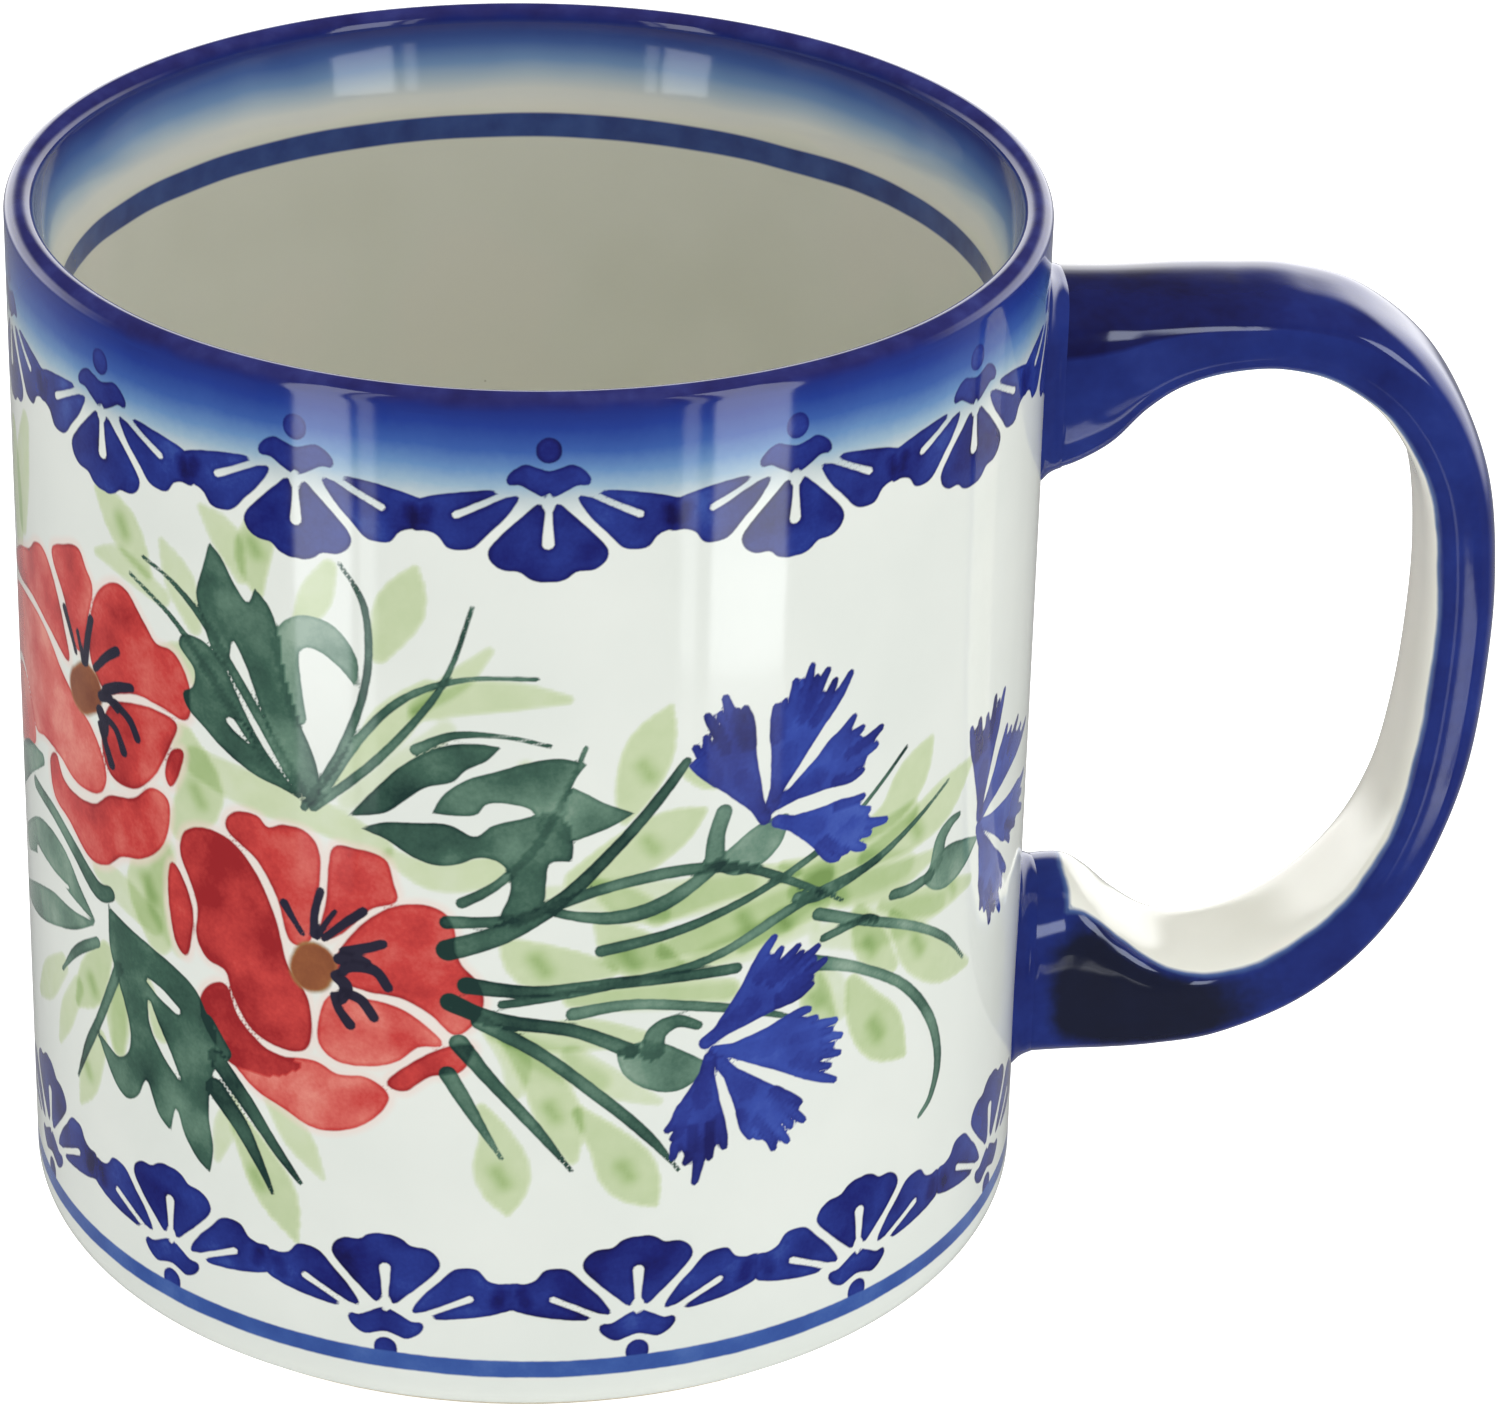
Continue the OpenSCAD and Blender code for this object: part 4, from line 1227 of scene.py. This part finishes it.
def floor_plane():
    """A white sheet, bright enough to run into the white behind. The glaze doesn't mirror it."""
    floor = sheet("floor", (-FLOOR_HALF, -FLOOR_HALF), (FLOOR_HALF, FLOOR_HALF))
    floor.location.z = -FLOOR_GAP * MM
    look = new_look("floor_paper")
    floor.data.materials.append(look.finish(linear((244, 244, 244)), 0.8))
    shader = next(n for n in look.nodes if n.type == "BSDF_PRINCIPLED")
    shader.inputs["Emission Color"].default_value = (1, 1, 1, 1)
    seen = look.nodes.new("ShaderNodeLightPath").outputs["Is Camera Ray"]
    glow = look.add(look.times(seen, FLOOR_SEEN - FLOOR_GLOW), FLOOR_GLOW)
    look.put(shader.inputs["Emission Strength"], glow)
    floor.visible_glossy = False


def studio_world():
    """White to the eye. The glaze mirrors only a bright sheet behind the mug, up to a certain height."""
    world = bpy.data.worlds.new("studio")
    bpy.context.scene.world = world
    look = Look(world, "Generated")
    path = look.nodes.new("ShaderNodeLightPath")
    across = look.times(look.axis("X"), -math.sin(VIEW_TURN))
    away = look.add(across, look.times(look.axis("Y"), math.cos(VIEW_TURN)))
    behind = look.step(away, 0.0, 0.55)
    rise = look.axis("Z")
    below = look.step(rise, BACKDROP_TOP + 0.1, BACKDROP_TOP - 0.1)
    above_table = look.add(look.times(look.step(rise, -0.3, -0.12), 1 - TABLE_MIRRORED), TABLE_MIRRORED)
    sheet = look.times(look.times(behind, below), above_table)
    mirrored = look.add(look.times(sheet, BACKDROP_MIRRORED), ROOM_MIRRORED)
    glossy = look.times(path.outputs["Is Glossy Ray"], mirrored)
    seen = look.times(path.outputs["Is Camera Ray"], 1.2)
    either = look.math("MAXIMUM", path.outputs["Is Glossy Ray"], path.outputs["Is Camera Ray"])
    rest = look.times(look.math("SUBTRACT", 1.0, either), ROOM_LIGHT)
    background = look.nodes.new("ShaderNodeBackground")
    background.inputs["Color"].default_value = (1, 1, 1, 1)
    look.put(background.inputs["Strength"], look.add(look.add(glossy, seen), rest))
    look.show(background, "ShaderNodeOutputWorld")


def area_light(name, place, aim, size, power):
    """A soft box at a place and aimed at a point, both in mm. It isn't seen, even in the glaze."""
    lamp = bpy.data.lights.new(name, "AREA")
    lamp.shape = "RECTANGLE"
    lamp.size, lamp.size_y = size[0] * MM, size[1] * MM
    lamp.energy = power
    light = bpy.data.objects.new(name, lamp)
    light.location = from_view(place) * MM
    light.rotation_euler = from_view(Vector(aim) - Vector(place)).to_track_quat("-Z", "Y").to_euler()
    light.visible_camera = False
    light.visible_glossy = False
    COLLECTION.objects.link(light)


def mirrored_only_by(box, pieces):
    """Lets a glowing sheet be seen only as a reflection, and only in these pieces."""
    box.visible_camera = False
    box.visible_diffuse = False
    box.visible_shadow = False
    lit = bpy.data.collections.new(box.name)
    for piece in pieces:
        lit.objects.link(piece)
    box.light_linking.receiver_collection = lit


def window_card(name, place, rise, half_width, bar, strength, pieces):
    """A glowing card that only these pieces mirror: a wide pane and a narrow one beside it.

    place is the foot of the pane's middle line. rise holds the heights of the lower edge, of the full
    glow and of the upper edge, and bar the middle and half width of the narrow pane.
    """
    reach = max(half_width, abs(bar[0]) + bar[1]) + 10
    low, full, high = rise
    card = sheet(name, (-reach, low), (reach, high), upright=True)
    card.location = from_view((*place, 0)) * MM
    card.rotation_euler.z = math.atan2(card.location.x, -card.location.y)
    look = new_look(name)
    across = look.times(look.axis("X"), 1 / MM)
    pane = look.math("SUBTRACT", half_width, look.math("ABSOLUTE", across))
    off = look.math("ABSOLUTE", look.math("SUBTRACT", across, bar[0]))
    narrow = look.math("SUBTRACT", bar[1], off)
    share = look.add(look.step(pane, -1, 3), look.times(look.step(narrow, -1, 3), NARROW_GLOW))
    risen = look.step(look.height(), low, full)
    card.data.materials.append(look.glow(CARD_COLOUR, look.times(look.times(share, risen), strength)))
    mirrored_only_by(card, pieces)


def front_box(name, azimuth, elevation, size, strength, pieces):
    """A soft box above the camera that only these pieces mirror. Its angles are seen from the strap."""
    a, e = math.radians(azimuth), math.radians(elevation)
    way = Vector((math.sin(a) * math.cos(e), -math.cos(a) * math.cos(e), math.sin(e)))
    middle = BOX_SEEN_FROM + way * BOX_DISTANCE
    w, h = size[0] / 2, size[1] / 2
    box = sheet(name, (-w, -h), (w, h))
    box.location = middle * MM
    box.rotation_euler = way.to_track_quat("Z", "Y").to_euler()
    look = new_look(name)
    share = 1.0
    for axis, half in (("X", w), ("Y", h)):
        inside = look.math("SUBTRACT", half, look.math("ABSOLUTE", look.times(look.axis(axis), 1 / MM)))
        share = look.times(look.step(inside, 0, BOX_SOFT), share)
    box.data.materials.append(look.glow(BOX_COLOUR, look.times(share, strength)))
    mirrored_only_by(box, pieces)


BOX_SEEN_FROM = Vector((60, 0, 60))
BOX_DISTANCE = 500
BOX_SOFT = 60
BOX_COLOUR = (0.8, 0.87, 1)
CARD_COLOUR = (0.92, 0.95, 1)
# How bright the narrow pane is beside the wide one.
NARROW_GLOW = 0.55
FLOOR_HALF, FLOOR_GAP = 6000, 0.05
FLOOR_GLOW, FLOOR_SEEN = 0.45, 0.85
ROOM_LIGHT = 0.6
# The sheet behind, as a height from -1 to 1 on the sphere of directions, and its share below the table.
BACKDROP_MIRRORED = 2.2
BACKDROP_TOP = 0.3
TABLE_MIRRORED = 0.12
ROOM_MIRRORED = 0.05
# Heights of the cards' lower edge, full glow and upper edge. The strap's ridges mirror the low one.
TALL = (-48, -8, 260)
LOW = (-64, -50, -17)
CAMERA_PLACE = Vector((23.05, -439.81, 271.27))
CAMERA_AIM = Vector((18.88, 0.28, 44.6))
CAMERA_ROLL = math.radians(1.5)
LENS = 140.2


def camera():
    data = bpy.data.cameras.new("photo_view")
    data.sensor_fit = "HORIZONTAL"
    data.sensor_width = 36
    data.lens = LENS
    data.clip_start, data.clip_end = 0.01, 50
    cam = bpy.data.objects.new("photo_view", data)
    COLLECTION.objects.link(cam)
    turn = from_view(CAMERA_AIM - CAMERA_PLACE).to_track_quat("-Z", "Y")
    cam.rotation_mode = "QUATERNION"
    cam.rotation_quaternion = turn @ Quaternion((0, 0, 1), CAMERA_ROLL)
    cam.location = from_view(CAMERA_PLACE) * MM
    bpy.context.scene.camera = cam


floor_plane()
studio_world()
area_light("overhead", (150, -50, 900), (0, 0, 0), (700, 700), 5)
turned_pieces = [wall, inside, lip, upper_bead, lower_bead]
window_card("left_window", (-124, -161), TALL, 22, (33, 7), 3.6, turned_pieces)
window_card("right_window", (148, -137), TALL, 30, (-45.5, 6.7), 3.6, turned_pieces)
window_card("low_card", (148, -137), LOW, 30, (-45.5, 6.7), 3, [strap])
front_box("front_box", 35, 31, (700, 250), 5.5, [strap])
camera()

scene = bpy.context.scene
scene.view_settings.view_transform = "Standard"
